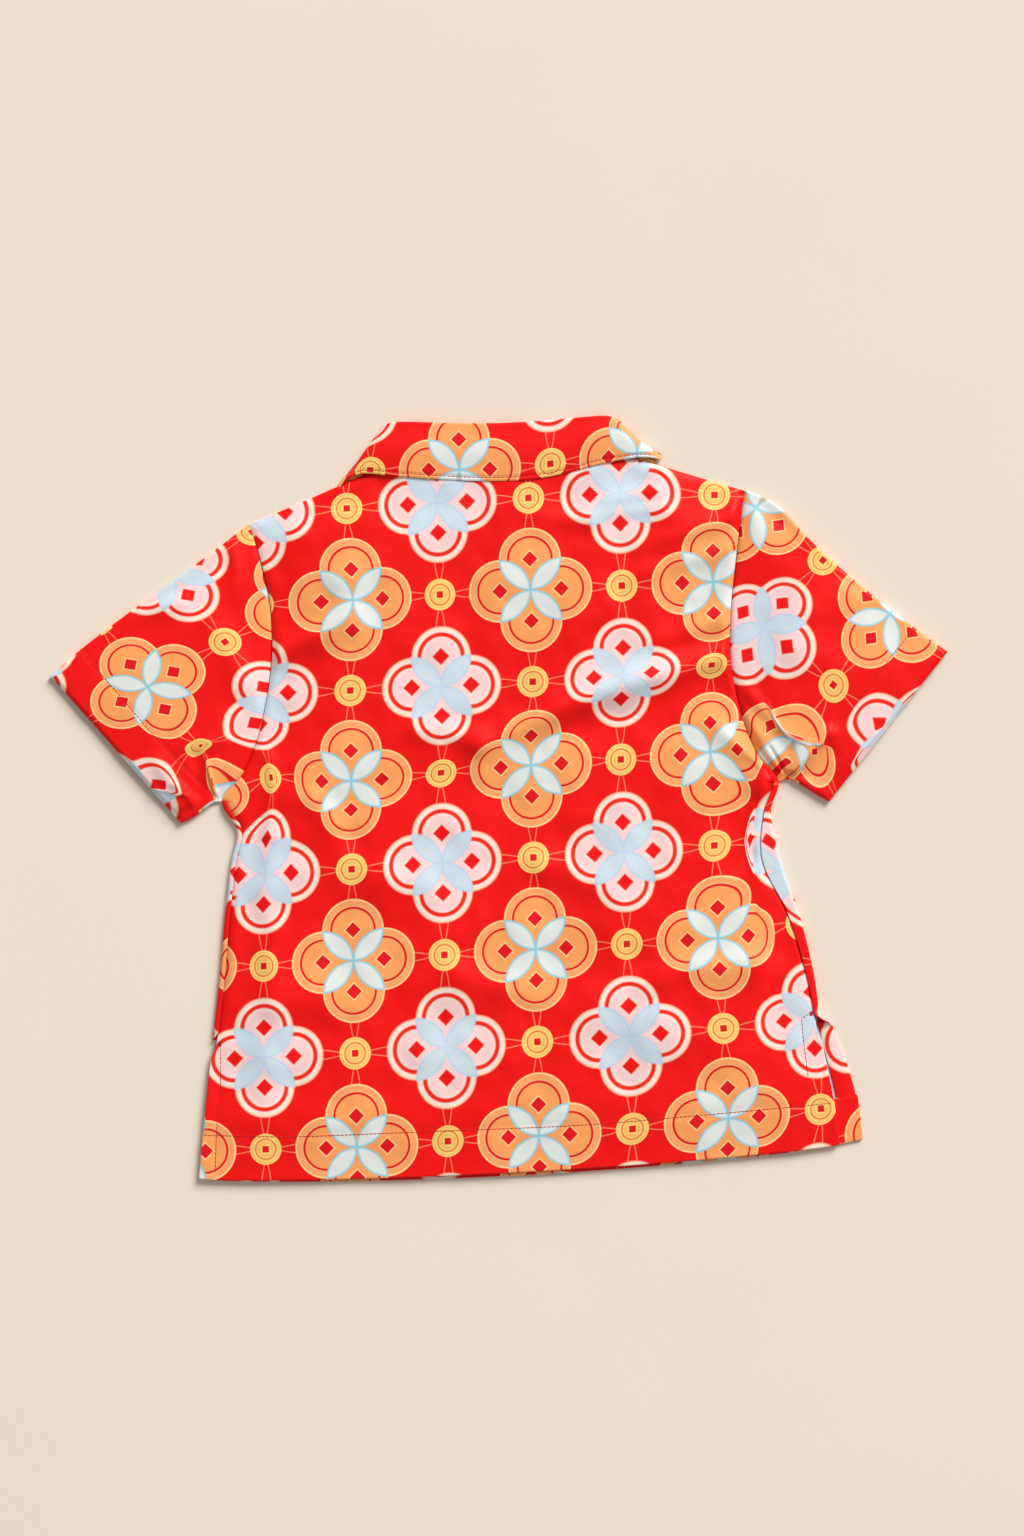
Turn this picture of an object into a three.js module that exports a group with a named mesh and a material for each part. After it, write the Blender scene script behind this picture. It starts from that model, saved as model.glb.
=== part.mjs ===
// A small child's short-sleeved tang shirt with a turned-down collar and side vents.
// It lies on its front on a flat surface, back up, as laid out by hand: a little askew.
// +X runs across the back to the wearer's right, +Y from hem to collar and +Z up. Millimetres.
// The origin is the middle of the base of the whole shirt's box.
import * as THREE from "three";

// ---------------------------------------------------------------- driving sizes
const CLOTH = 1.0; // wall of one layer of cloth, seam allowances included
const SEAM = 0.3; // gap between two pieces at a seam, and between two layers
const LAYER = CLOTH + SEAM; // rise from one layer to the next
const FOLD = 3.0; // height of the soft fold at a side or along a sleeve
const CREST = 6.0; // top of the back where it rides over the buttoned front edges
const HEM_TOP = 3.6; // top of the back at its hem
const COLLAR_ZONE_TOP = 4.9; // top of the back at the neck seam, under the collar
const SHOULDER_TOP = 2.3; // top of the back where it is sewn down along the shoulder
const NECK_HALF = 62; // half the width of the neck, at the ends of the shoulders
const NECK_RISE = 29.5; // from the shoulder tip up to the end of the shoulder at the neck
const NECK_DIP = 3.5; // hollow of the back neckline
const FRONT_SCOOP = 55; // depth of the front neckline below the neck ends
const HEM_BOW = 6.4; // how far the hem sags below a straight line from side to side
const FRONT_HEM_PEEP = 2.0; // how far the front's hem shows below the back's
const OVERLAP = 12; // how far each front passes the centre front
const BUTTON = { across: 11, thick: 2.0, first: 114, pitch: 68, count: 5 };
const VENT_UNROLL = 12; // length below the vent's top where the front's edge uncurls

const MATERIALS = {
  print: { color: 0xe5231f, roughness: 0.55, metalness: 0 },
  button: { color: 0xd8342c, roughness: 0.35, metalness: 0 },
};

// Levels up the body: the outline's left and right ends, how far the right front
// wraps round onto the back, and how far its free edge peeps out below the vent.
const BODY_LEVELS = [
  { level: "hem", leftX: -174.3, leftY: -220.3, rightX: 198.5, rightY: -200.3, wrap: 3, peep: 13 },
  { level: "hem top", leftX: -171, leftY: -183, rightX: 194.5, rightY: -172, wrap: 3, peep: 12.5 },
  { level: "vent", leftX: -168, leftY: -155, rightX: 189.5, rightY: -147, wrap: 3, peep: 10 },
  { level: "vent top", leftX: -165.2, leftY: -134, rightX: 186.2, rightY: -124, wrap: 3, peep: 4.5 },
  { level: "hip", leftX: -161.8, leftY: -102, rightX: 182.5, rightY: -99, wrap: 6, peep: 0 },
  { level: "waist", leftX: -159, leftY: -70, rightX: 174.5, rightY: -67, wrap: 9, peep: 0 },
  { level: "ribs", leftX: -155.5, leftY: -38, rightX: 164, rightY: -37, wrap: 12, peep: 0 },
  { level: "chest", leftX: -152, leftY: -19, rightX: 158.2, rightY: -9, wrap: 12, peep: 0 },
  { level: "underarm", leftX: -160.5, leftY: -2, rightX: 162.5, rightY: 10, wrap: 4, peep: 0 },
  { level: "armhole foot", leftX: -148.5, leftY: 14, rightX: 150.5, rightY: 25, wrap: 0, peep: 0 },
  { level: "armhole low", leftX: -139, leftY: 37, rightX: 141.5, rightY: 46, wrap: 0, peep: 0 },
  { level: "armhole", leftX: -132.3, leftY: 72, rightX: 135, rightY: 78, wrap: 0, peep: 0 },
  { level: "armhole high", leftX: -131.8, leftY: 106, rightX: 135, rightY: 112, wrap: 0, peep: 0 },
  { level: "armhole top", leftX: -137, leftY: 134, rightX: 138.5, rightY: 145, wrap: 0, peep: 0 },
  { level: "shoulder tip", leftX: -144.7, leftY: 158.6, rightX: 142.5, rightY: 178.4, wrap: 0, peep: 0 },
];

// Sections out along each sleeve, from the armhole to the cuff: the share of the way,
// and the ends of the section on the sleeve's upper and lower folds.
const SLEEVE_LEFT = [
  { share: 0.2, topX: -170.8, topY: 138.6, lowX: -165.5, lowY: -2.5 },
  { share: 0.5, topX: -203, topY: 115.7, lowX: -171.5, lowY: -7 },
  { share: 0.8, topX: -238, topY: 89.7, lowX: -178.5, lowY: -12 },
  { share: 1.0, topX: -260, topY: 71, lowX: -184, lowY: -14.5 },
];
const SLEEVE_RIGHT = [
  { share: 0.15, topX: 161, topY: 170, lowX: 168.5, lowY: 11.3 },
  { share: 0.35, topX: 181, topY: 149, lowX: 174.5, lowY: 8.5 },
  { share: 0.6, topX: 209, topY: 124, lowX: 180.5, lowY: 4.7 },
  { share: 0.8, topX: 236, topY: 102.8, lowX: 186, lowY: 1 },
  { share: 1.0, topX: 260.2, topY: 85, lowX: 191.5, lowY: -2 },
];

// Stations round half the collar, from its front end, round the side, to the centre
// back. Neck is the place on the front or back neckline as a share of half its width,
// then come the roll line, the free edge (left and right), and the turn in degrees,
// from 0 on the front to 180 on the back.
const NECK_STEPS = 5;
const frontNeck = (step) => 1 - (step * (1 + OVERLAP / NECK_HALF)) / NECK_STEPS;
const COLLAR = [
  { at: "front end", neck: frontNeck(4), rollX: 2.5, rollY: 154, edgeX: 26, edgeL: 106, edgeR: 106, turn: 0 },
  { at: "front", neck: frontNeck(3), rollX: 13, rollY: 157, edgeX: 42, edgeL: 110, edgeR: 110, turn: 0 },
  { at: "front bend", neck: frontNeck(2), rollX: 23, rollY: 163, edgeX: 56, edgeL: 121, edgeR: 121, turn: 0 },
  { at: "front side", neck: frontNeck(1), rollX: 33, rollY: 173, edgeX: 70, edgeL: 140, edgeR: 142, turn: 0 },
  { at: "side front", neck: 1, rollX: 62, rollY: 209, edgeX: 87, edgeL: 186.2, edgeR: 194.6, turn: 16 },
  { at: "side", neck: 1, rollX: 67, rollY: 217.5, edgeX: 88, edgeL: 189, edgeR: 196, turn: 90 },
  { at: "side back", neck: 1, rollX: 65, rollY: 219.3, edgeX: 84, edgeL: 190.5, edgeR: 195.8, turn: 155 },
  { at: "back side", neck: 0.75, rollX: 51, rollY: 219.3, edgeX: 62, edgeL: 188.5, edgeR: 192.8, turn: 180 },
  { at: "back", neck: 0.5, rollX: 34, rollY: 218.6, edgeX: 41, edgeL: 186.6, edgeR: 188.2, turn: 180 },
  { at: "back middle", neck: 0.25, rollX: 17, rollY: 217.8, edgeX: 20, edgeL: 184.8, edgeR: 184.6, turn: 180 },
  { at: "centre back", neck: 0, rollX: 0, rollY: 217.4, edgeX: 0, edgeL: 184, edgeR: 184, turn: 180 },
];
const COLLAR_TILT = 0.03; // the collar's right end lies a little higher than its left
const COLLAR_SHIFT = 1; // and the collar lies this far to the right of the neck
const COLLAR_MID = 3.1; // height of the middle of the flattened neck

// Largest folds in the upper layer: soft ridges between two points.
const RIDGES = [
  { fold: "right armpit", fromX: 158, fromY: 6, toX: 112, toY: 60, half: 13, rise: 1.6 },
  { fold: "right side pinch", fromX: 152, fromY: -20, toX: 150, toY: -62, half: 11, rise: 1.4 },
  { fold: "left armhole", fromX: -124, fromY: 92, toX: -112, toY: 52, half: 12, rise: 0.8 },
  { fold: "right shoulder", fromX: 120, fromY: 166, toX: 134, toY: 142, half: 10, rise: 0.9 },
  { fold: "left sleeve tuck", fromX: -172, fromY: 28, toX: -168, toY: 2, half: 9, rise: 1.6 },
  { fold: "right sleeve tuck", fromX: 196, fromY: 36, toX: 172, toY: 16, half: 10, rise: 1.4 },
];

// ---------------------------------------------------------------- small maths
const lerp = THREE.MathUtils.lerp;
const clamp01 = (value) => THREE.MathUtils.clamp(value, 0, 1);
// A soft step from 0 to 1 as the distance goes from 0 to reach.
const ease = (distance, reach) => THREE.MathUtils.smoothstep(distance, 0, reach);
const plan = (x, y) => new THREE.Vector2(x, y);
const evenShares = (count) => Array.from({ length: count + 1 }, (_, i) => i / count);

// Height added by the ridges at a point of the plan.
function ridges(point) {
  let rise = 0;
  for (const row of RIDGES) {
    const from = plan(row.fromX, row.fromY);
    const along = plan(row.toX, row.toY).sub(from);
    const share = clamp01(point.clone().sub(from).dot(along) / along.lengthSq());
    const away = point.distanceTo(from.addScaledVector(along, share)) / row.half;
    rise += row.rise * Math.exp(-away * away);
  }
  return rise;
}

// Six times the volume that a list of triangles encloses: negative if they face inward.
function signedVolume(positions, index) {
  const corner = (i) => new THREE.Vector3().fromArray(positions, 3 * i);
  let sum = 0;
  for (let i = 0; i < index.length; i += 3) {
    sum += corner(index[i]).dot(corner(index[i + 1]).cross(corner(index[i + 2])));
  }
  return sum;
}

// A closed wall between two grids of points, outer and inner, rows of equal length.
// A ring closes each row on itself, as in a tube; otherwise the rows' ends get walls.
function wall(name, material, outer, inner, ring = false) {
  const rows = outer.length;
  const cols = outer[0].length;
  const positions = [...outer.flat(), ...inner.flat()].flatMap((p) => [p.x, p.y, p.z]);
  const at = (side, row, col) => side * rows * cols + row * cols + (col % cols);
  const index = [];
  const quad = (a, b, c, d) => index.push(a, b, c, a, c, d);
  const spans = ring ? cols : cols - 1;
  for (let r = 0; r + 1 < rows; r += 1) {
    for (let c = 0; c < spans; c += 1) {
      quad(at(0, r, c), at(0, r, c + 1), at(0, r + 1, c + 1), at(0, r + 1, c));
      quad(at(1, r, c), at(1, r + 1, c), at(1, r + 1, c + 1), at(1, r, c + 1));
    }
  }
  for (let c = 0; c < spans; c += 1) {
    quad(at(0, 0, c), at(1, 0, c), at(1, 0, c + 1), at(0, 0, c + 1));
    quad(at(0, rows - 1, c), at(0, rows - 1, c + 1), at(1, rows - 1, c + 1), at(1, rows - 1, c));
  }
  for (let r = 0; r + 1 < rows && !ring; r += 1) {
    quad(at(0, r, 0), at(0, r + 1, 0), at(1, r + 1, 0), at(1, r, 0));
    quad(at(0, r, cols - 1), at(1, r, cols - 1), at(1, r + 1, cols - 1), at(0, r + 1, cols - 1));
  }
  if (signedVolume(positions, index) < 0) {
    index.reverse();
  }
  const geometry = new THREE.BufferGeometry();
  geometry.setAttribute("position", new THREE.Float32BufferAttribute(positions, 3));
  geometry.setIndex(index);
  geometry.computeVertexNormals();
  const mesh = new THREE.Mesh(geometry, material);
  mesh.name = name;
  return mesh;
}

const materials = Object.fromEntries(
  Object.entries(MATERIALS).map(([name, look]) => [name, new THREE.MeshStandardMaterial(look)]),
);

// ---------------------------------------------------------------- plan of the body
const levelAt = (name) => BODY_LEVELS.findIndex((row) => row.level === name) / (BODY_LEVELS.length - 1);
const sideCurve = (x, y) => new THREE.SplineCurve(BODY_LEVELS.map((row) => plan(row[x], row[y])));
const OUTLINE = { left: sideCurve("leftX", "leftY"), right: sideCurve("rightX", "rightY") };
const WRAP_AND_PEEP = new THREE.SplineCurve(BODY_LEVELS.map((row) => plan(row.wrap, row.peep)));
const UNDERARM = levelAt("underarm");
const VENT_TOP = levelAt("vent top");
const LEFT_WRAP = 2.6; // the left front only just turns onto the back
const LEFT_PEEP = -0.6; // and below its vent its edge stops just short of the back's
const VENT_SET = 0.6; // how far inside the outline the back's edge lies at a vent
const LEVELS_UP = evenShares(2 * (BODY_LEVELS.length - 1));
const RISE_FADE = 2.2; // how fast the slope of the shoulders dies away down the body
const SAG_FADE = 2; // how fast the hem's sag dies away up to the vents
const SAG_FLATNESS = 0.6; // below 1, the hem's sag is even for most of its width

// A point of the laid body: across runs 0 to 1 from the left outline to the right,
// up runs 0 to 1 from hem to shoulders, and top gives the rise of the upper edge.
function bodyPoint(across, up, top, peep = 0) {
  const point = OUTLINE.left.getPoint(up).lerp(OUTLINE.right.getPoint(up), across);
  const nearTop = clamp01((up - VENT_TOP) / (1 - VENT_TOP)) ** RISE_FADE;
  const nearHem = (1 - clamp01(up / VENT_TOP)) ** SAG_FADE;
  const sag = Math.max(0, Math.sin(Math.PI * across)) ** SAG_FLATNESS;
  point.y += top(across) * nearTop - (HEM_BOW + peep) * sag * nearHem;
  return point;
}
// Distance down the side from the vent's top, or 0 above it.
function belowVent(side, up) {
  const ventTop = OUTLINE[side].getPoint(VENT_TOP);
  return up < VENT_TOP ? ventTop.distanceTo(OUTLINE[side].getPoint(up)) : 0;
}
const widthAt = (up) => OUTLINE.left.getPoint(up).distanceTo(OUTLINE.right.getPoint(up));
const NECK_LEFT = 0.5 - NECK_HALF / widthAt(1);
const NECK_RIGHT = 0.5 + NECK_HALF / widthAt(1);

// Upper edge of a panel: the shoulders rise in a straight line to the ends of the neck,
// and between them the neckline hollows, shallow at the back and deep at the front.
const shoulderRise = (across) => NECK_RISE * Math.min(1, across / NECK_LEFT, (1 - across) / (1 - NECK_RIGHT));
function neckHollow(across) {
  const flat = OVERLAP / NECK_HALF; // level where the two fronts overlap
  const off = Math.max(flat, Math.abs(across - 0.5) / (NECK_RIGHT - 0.5));
  return Math.sqrt(Math.max(0, 1 - off * off));
}
const backTop = (across) => shoulderRise(across) - NECK_DIP * neckHollow(across);
const frontTop = (across) => shoulderRise(across) - FRONT_SCOOP * neckHollow(across);

// ---------------------------------------------------------------- heights
// Under the collar's front leaves the fronts lift by one layer.
const LEAF_REACH = 94; // from the middle of the neck out to the side of the collar
const LEAF_FOOT = 94; // height up the body where the lift is complete
const LEAF_FADE = 20; // width beside the leaves over which the lift fades
const LEAF_START = 12; // length below their foot over which it grows
const nearLeaves = (point) => 1 - ease(Math.abs(point.x) - LEAF_REACH, LEAF_FADE);
const overLeaves = (point) => LAYER * nearLeaves(point) * ease(point.y - LEAF_FOOT + LEAF_START, LEAF_START);

// Along the centre front they lift over the buttons, except near the hem.
const FLAT_HEM = -207; // the fronts lie flat from their hem up to here
const HEM_LIFT = 26; // length over which they then lift over the buttons
const TOP_BUTTON_END = 10; // length past the top button where they come down to one layer
const LEFT_HELD = OVERLAP + 4; // the left front stays lifted this far from the centre front
const RIGHT_HELD = 2 * OVERLAP + 2; // and so does the right front, which lies on it
const LIFT_FADE = OVERLAP + 2; // then it comes down over this width
function overButtons(point) {
  const pastTop = ease(point.y - BUTTON.first - TOP_BUTTON_END, TOP_BUTTON_END);
  return lerp(BUTTON.thick + SEAM, LAYER, pastTop) * ease(point.y - FLAT_HEM, HEM_LIFT);
}
// Off is the distance from the centre front towards the panel's own side.
function frontBase(side, point, off) {
  if (side === "left") {
    return Math.max(overLeaves(point), overButtons(point) * (1 - ease(off - LEFT_HELD, LIFT_FADE)));
  }
  return Math.max(overLeaves(point), (overButtons(point) + LAYER) * (1 - ease(off - RIGHT_HELD, LIFT_FADE)));
}

// Top of the upper layer. It is low at the sides, the armholes and the shoulders, higher
// at the hem and the neck, and highest down the middle.
const SLOPE = { side: 46, hem: 40, shoulder: 26, neck: 34 }; // widths of its slopes, in from each edge
const COLLAR_ZONE_FOOT = 142; // height up the body where it starts to come down to the neck
const NECK_END = 16; // width of its step at each end of the neck
const RIDGE_FADE = { side: 8, shoulder: 20 }; // the ridges die away this near to an edge
function backCrest(across, up, point) {
  const fromSide = Math.min(across, 1 - across) * widthAt(up);
  const inNeck = ease(NECK_HALF + NECK_END / 2 - Math.abs(point.x), NECK_END);
  const shoulderTop = SHOULDER_TOP + LAYER * nearLeaves(point);
  const edgeTop = lerp(shoulderTop, COLLAR_ZONE_TOP, inNeck);
  const shoulderY = bodyPoint(across, 1, backTop).y;
  const hemY = bodyPoint(across, 0, backTop).y;
  const plateau = lerp(CREST, COLLAR_ZONE_TOP, ease(point.y - COLLAR_ZONE_FOOT, SLOPE.neck));
  const inward = lerp(HEM_TOP, plateau, ease(point.y - hemY, SLOPE.hem));
  const side = lerp(Math.min(FOLD, inward), inward, ease(fromSide, SLOPE.side));
  const capped = lerp(edgeTop, side, ease(shoulderY - point.y, SLOPE.shoulder));
  const soft = ease(fromSide, RIDGE_FADE.side) * ease(shoulderY - point.y, RIDGE_FADE.shoulder);
  return capped + ridges(point) * soft;
}

// ---------------------------------------------------------------- back panel
const SHOULDER_STEPS = 5; // columns across each shoulder
const BACK_NECK_STEPS = 8; // and across the back of the neck
const BACK_EDGE_HELD = 9; // length below the vent's top where the front still wraps the back

function spread(from, to, count) {
  return evenShares(count).map((share) => lerp(from, to, share));
}
function backPanel() {
  const shares = [
    ...spread(0, NECK_LEFT, SHOULDER_STEPS),
    ...spread(NECK_LEFT, NECK_RIGHT, BACK_NECK_STEPS).slice(1),
    ...spread(NECK_RIGHT, 1, SHOULDER_STEPS).slice(1),
  ];
  const top = [];
  const under = [];
  for (const up of LEVELS_UP) {
    const width = widthAt(up);
    const inset = (side, wrap) => {
      const open = ease(belowVent(side, up) - BACK_EDGE_HELD, VENT_UNROLL);
      return (up > UNDERARM ? SEAM / 2 : lerp(wrap, VENT_SET, open) + SEAM) / width;
    };
    const setLeft = inset("left", LEFT_WRAP);
    const setRight = inset("right", WRAP_AND_PEEP.getPoint(up).x);
    const row = shares.map((share) => {
      const across = lerp(setLeft, 1 - setRight, share);
      const point = bodyPoint(across, up, backTop);
      return new THREE.Vector3(point.x, point.y, backCrest(across, up, point));
    });
    top.push(row);
    under.push(row.map((p) => new THREE.Vector3(p.x, p.y, p.z - CLOTH)));
  }
  return wall("back_panel", materials.print, top, under);
}

// ---------------------------------------------------------------- front panels
// Each front runs from its edge past the centre front to the side, rolls up round the
// side fold and ends in a narrow strip on the back, where the side seam is. Below the
// vent's top the roll opens out flat and its free edge peeps past the back.
const ROLL = FOLD / 2;
const ROLL_LENGTH = Math.PI * (ROLL - CLOTH / 2);
const ROLL_STEPS = evenShares(4);
const SQUEEZED = 2.2; // width the roll's columns take up along the armhole, where none is rolled
const LEAST_STRIP = 0.8; // narrowest strip past the roll on the back
const LEAST_OPEN_STRIP = 1.2; // and where the roll lies open
const LEAST_BEND = 0.02; // a roll that bends less than this lies flat
const INWARD_STEP = 8; // a step in from the roll, which shows which way is out

function sideFold(side, up) {
  const wrap = side === "left" ? LEFT_WRAP : WRAP_AND_PEEP.getPoint(up).x;
  const peep = side === "left" ? LEFT_PEEP : WRAP_AND_PEEP.getPoint(up).y;
  const open = ease(belowVent(side, up), VENT_UNROLL);
  const strip = Math.max(LEAST_OPEN_STRIP, peep + ROLL - ROLL_LENGTH);
  return {
    bend: Math.PI * (1 - open),
    inset: lerp(ROLL, ROLL_LENGTH + strip - peep, open),
    strip: lerp(Math.max(LEAST_STRIP, wrap - ROLL), strip, open),
  };
}
// The roll and its strip, as steps outward and upward from where the roll starts, for
// the layer's lower face (0) or upper face (CLOTH).
function rollProfile(fold, face) {
  const middle = CLOTH / 2;
  const off = face - middle;
  const straight = fold.bend < LEAST_BEND;
  const radius = straight ? 0 : ROLL_LENGTH / fold.bend;
  const profile = ROLL_STEPS.map((share) => {
    const angle = fold.bend * share;
    const out = straight ? ROLL_LENGTH * share : (radius - off) * Math.sin(angle);
    const rise = straight ? face : middle + radius - (radius - off) * Math.cos(angle);
    return { out, rise };
  });
  const last = profile[profile.length - 1];
  profile.push({
    out: last.out + Math.cos(fold.bend) * fold.strip,
    rise: last.rise + Math.sin(fold.bend) * fold.strip,
  });
  return profile;
}
// Along the armhole the same columns lie flat, side by side.
function squeezedProfile(face) {
  return evenShares(ROLL_STEPS.length).map((share) => ({ out: SQUEEZED * share, rise: face }));
}

function frontPanel(side) {
  const outward = side === "left" ? -1 : 1;
  const neck = side === "left" ? NECK_LEFT : NECK_RIGHT;
  const outer = [];
  const inner = [];
  for (const up of LEVELS_UP) {
    const width = widthAt(up);
    const edge = side === "left" ? 0 : 1;
    const towards = (mm) => edge - (outward * mm) / width;
    const rolled = up <= UNDERARM;
    const fold = sideFold(side, up);
    const rest = rolled ? fold.inset : SEAM / 2 + SQUEEZED;
    const start = 0.5 - (outward * OVERLAP) / width;
    const columns = [
      ...spread(start, neck, NECK_STEPS),
      ...spread(neck, towards(rest), SHOULDER_STEPS).slice(1),
    ];
    const peep = FRONT_HEM_PEEP;
    const lower = [];
    const upper = [];
    for (const across of columns) {
      const point = bodyPoint(across, up, frontTop, peep);
      const lift = frontBase(side, point, (across - 0.5) * outward * width);
      lower.push(new THREE.Vector3(point.x, point.y, lift));
      upper.push(new THREE.Vector3(point.x, point.y, lift + CLOTH));
    }
    const foot = bodyPoint(towards(rest), up, frontTop, peep);
    const away = foot.clone().sub(bodyPoint(towards(rest + INWARD_STEP), up, frontTop, peep)).normalize();
    const lift = frontBase(side, foot, width / 2);
    for (const [face, target] of [[0, lower], [CLOTH, upper]]) {
      const profile = rolled ? rollProfile(fold, face) : squeezedProfile(face);
      for (const { out, rise } of profile.slice(1)) {
        target.push(new THREE.Vector3(foot.x + away.x * out, foot.y + away.y * out, lift + rise));
      }
    }
    outer.push(lower);
    inner.push(upper);
  }
  return wall(`front_${side}`, materials.print, outer, inner);
}

// ---------------------------------------------------------------- sleeves
// A flattened tube: its lower layer flat on the table, its upper layer a low crown, and a
// soft fold along each edge. Each section is a ring, from the curved armhole to the cuff.
const SLEEVE_RINGS = 8;
const ARMHOLE_STEPS = LEVELS_UP.filter((up) => up > UNDERARM - 1e-6).length - 1;
const TURN_STEPS = evenShares(4).slice(1, -1);
const SLEEVE_CROWN = 1.7; // height of the crown above the folds
const CROWN_SLOPE = 30; // distance in from a fold where the crown is full
const CROWN_START = 0.12; // share of its half wave that the crown has at the armhole
const EDGE_RISE = 0.35; // share of the length over which the folds reach their full height
const RIDGE_START = 0.15; // share of the length where the ridges begin
const ARMHOLE_FADE = 1.5; // how fast the armhole's curve dies away along the sleeve
const SEAM_EXTRA = 0.05; // a little more room where two curved edges meet
const NUDGE = 0.01; // a small step across the sleeve, which shows which way is out
const UNDER_REACH = { left: 0.8, right: 3.5 }; // how far the cuff's lower layer shows past its upper one

function sleeve(side, table) {
  const outline = OUTLINE[side];
  const first = { share: 0, topX: outline.getPoint(1).x, topY: outline.getPoint(1).y };
  first.lowX = outline.getPoint(UNDERARM).x;
  first.lowY = outline.getPoint(UNDERARM).y;
  const rows = [first, ...table];
  const topEdge = new THREE.SplineCurve(rows.map((row) => plan(row.topX, row.topY)));
  const lowEdge = new THREE.SplineCurve(rows.map((row) => plan(row.lowX, row.lowY)));
  const outwards = plan(Math.sign(first.topX), 0);
  // Where a share of the sleeve's length falls between the table's rows.
  const place = (share) => {
    const next = Math.max(1, rows.findIndex((row) => row.share >= share - 1e-9));
    const part = (share - rows[next - 1].share) / (rows[next].share - rows[next - 1].share);
    return (next - 1 + part) / (rows.length - 1);
  };
  // A point of the laid sleeve: down runs 0 to 1 from the upper fold to the lower.
  const point = (down, share) => {
    const t = place(share);
    const chord = topEdge.getPoint(t).lerp(lowEdge.getPoint(t), down);
    const armhole = outline.getPoint(lerp(1, UNDERARM, down));
    const straight = topEdge.getPoint(0).lerp(lowEdge.getPoint(0), down);
    chord.add(armhole.sub(straight).multiplyScalar((1 - share) ** ARMHOLE_FADE));
    return chord.addScaledVector(outwards, SEAM / 2 + SEAM_EXTRA);
  };
  const outer = [];
  const inner = [];
  for (const share of evenShares(SLEEVE_RINGS)) {
    const edge = lerp(SHOULDER_TOP, FOLD, ease(share, EDGE_RISE));
    const width = point(0, share).distanceTo(point(1, share));
    const set = edge / 2 / width;
    const layer = [set, ...evenShares(ARMHOLE_STEPS).slice(1, -1), 1 - set];
    const slip = (down) => UNDER_REACH[side] * share * Math.sin(Math.PI * down);
    const wave = Math.sin(Math.PI * lerp(CROWN_START, 1 - CROWN_START, share));
    const ringAt = (depth) => {
      const turn = edge / 2 - depth;
      const ring = [];
      const push = (at, z) => ring.push(new THREE.Vector3(at.x, at.y, z));
      const round = (down, sense) => {
        const centre = point(down, share);
        const away = point(down + sense * NUDGE, share).sub(centre).normalize();
        for (const part of TURN_STEPS) {
          const angle = Math.PI * (part - 0.5) * sense;
          const at = centre.clone().addScaledVector(away, turn * Math.cos(angle));
          push(at, edge / 2 + turn * Math.sin(angle));
        }
      };
      for (const down of layer) {
        push(point(down, share), depth);
      }
      round(1 - set, 1);
      for (const down of [...layer].reverse()) {
        const at = point(down, share);
        const fromFold = Math.min(down, 1 - down) * width - edge / 2;
        const crown = SLEEVE_CROWN * ease(fromFold, CROWN_SLOPE) * wave;
        const lift = ridges(at) * ease(fromFold, RIDGE_FADE.side) * ease(share, RIDGE_START);
        push(at.addScaledVector(outwards, -slip(down)), edge + crown + lift - depth);
      }
      round(set, -1);
      return ring;
    };
    outer.push(ringAt(0));
    inner.push(ringAt(CLOTH));
  }
  return wall(`sleeve_${side}`, materials.print, outer, inner, true);
}

// ---------------------------------------------------------------- collar
// One folded strip: a stand up from the neck seam, a tight roll, and a fall lying back
// over it. The neck is flattened, so the strip runs along the front, turns up round the
// side and crosses the back. Depth is the distance from the middle of the flat neck.
const STAND_INNER = 0.8;
const FALL_OUTER = STAND_INNER + 2 * CLOTH + SEAM;
const ROLL_OUTER = (FALL_OUTER - STAND_INNER) / 2;
const STAND_STEPS = [0, 0.5, 1];
const FALL_STEPS = [0, 0.3, 0.65, 1];
const COLLAR_ROLL = evenShares(4).slice(1, -1);

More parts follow.
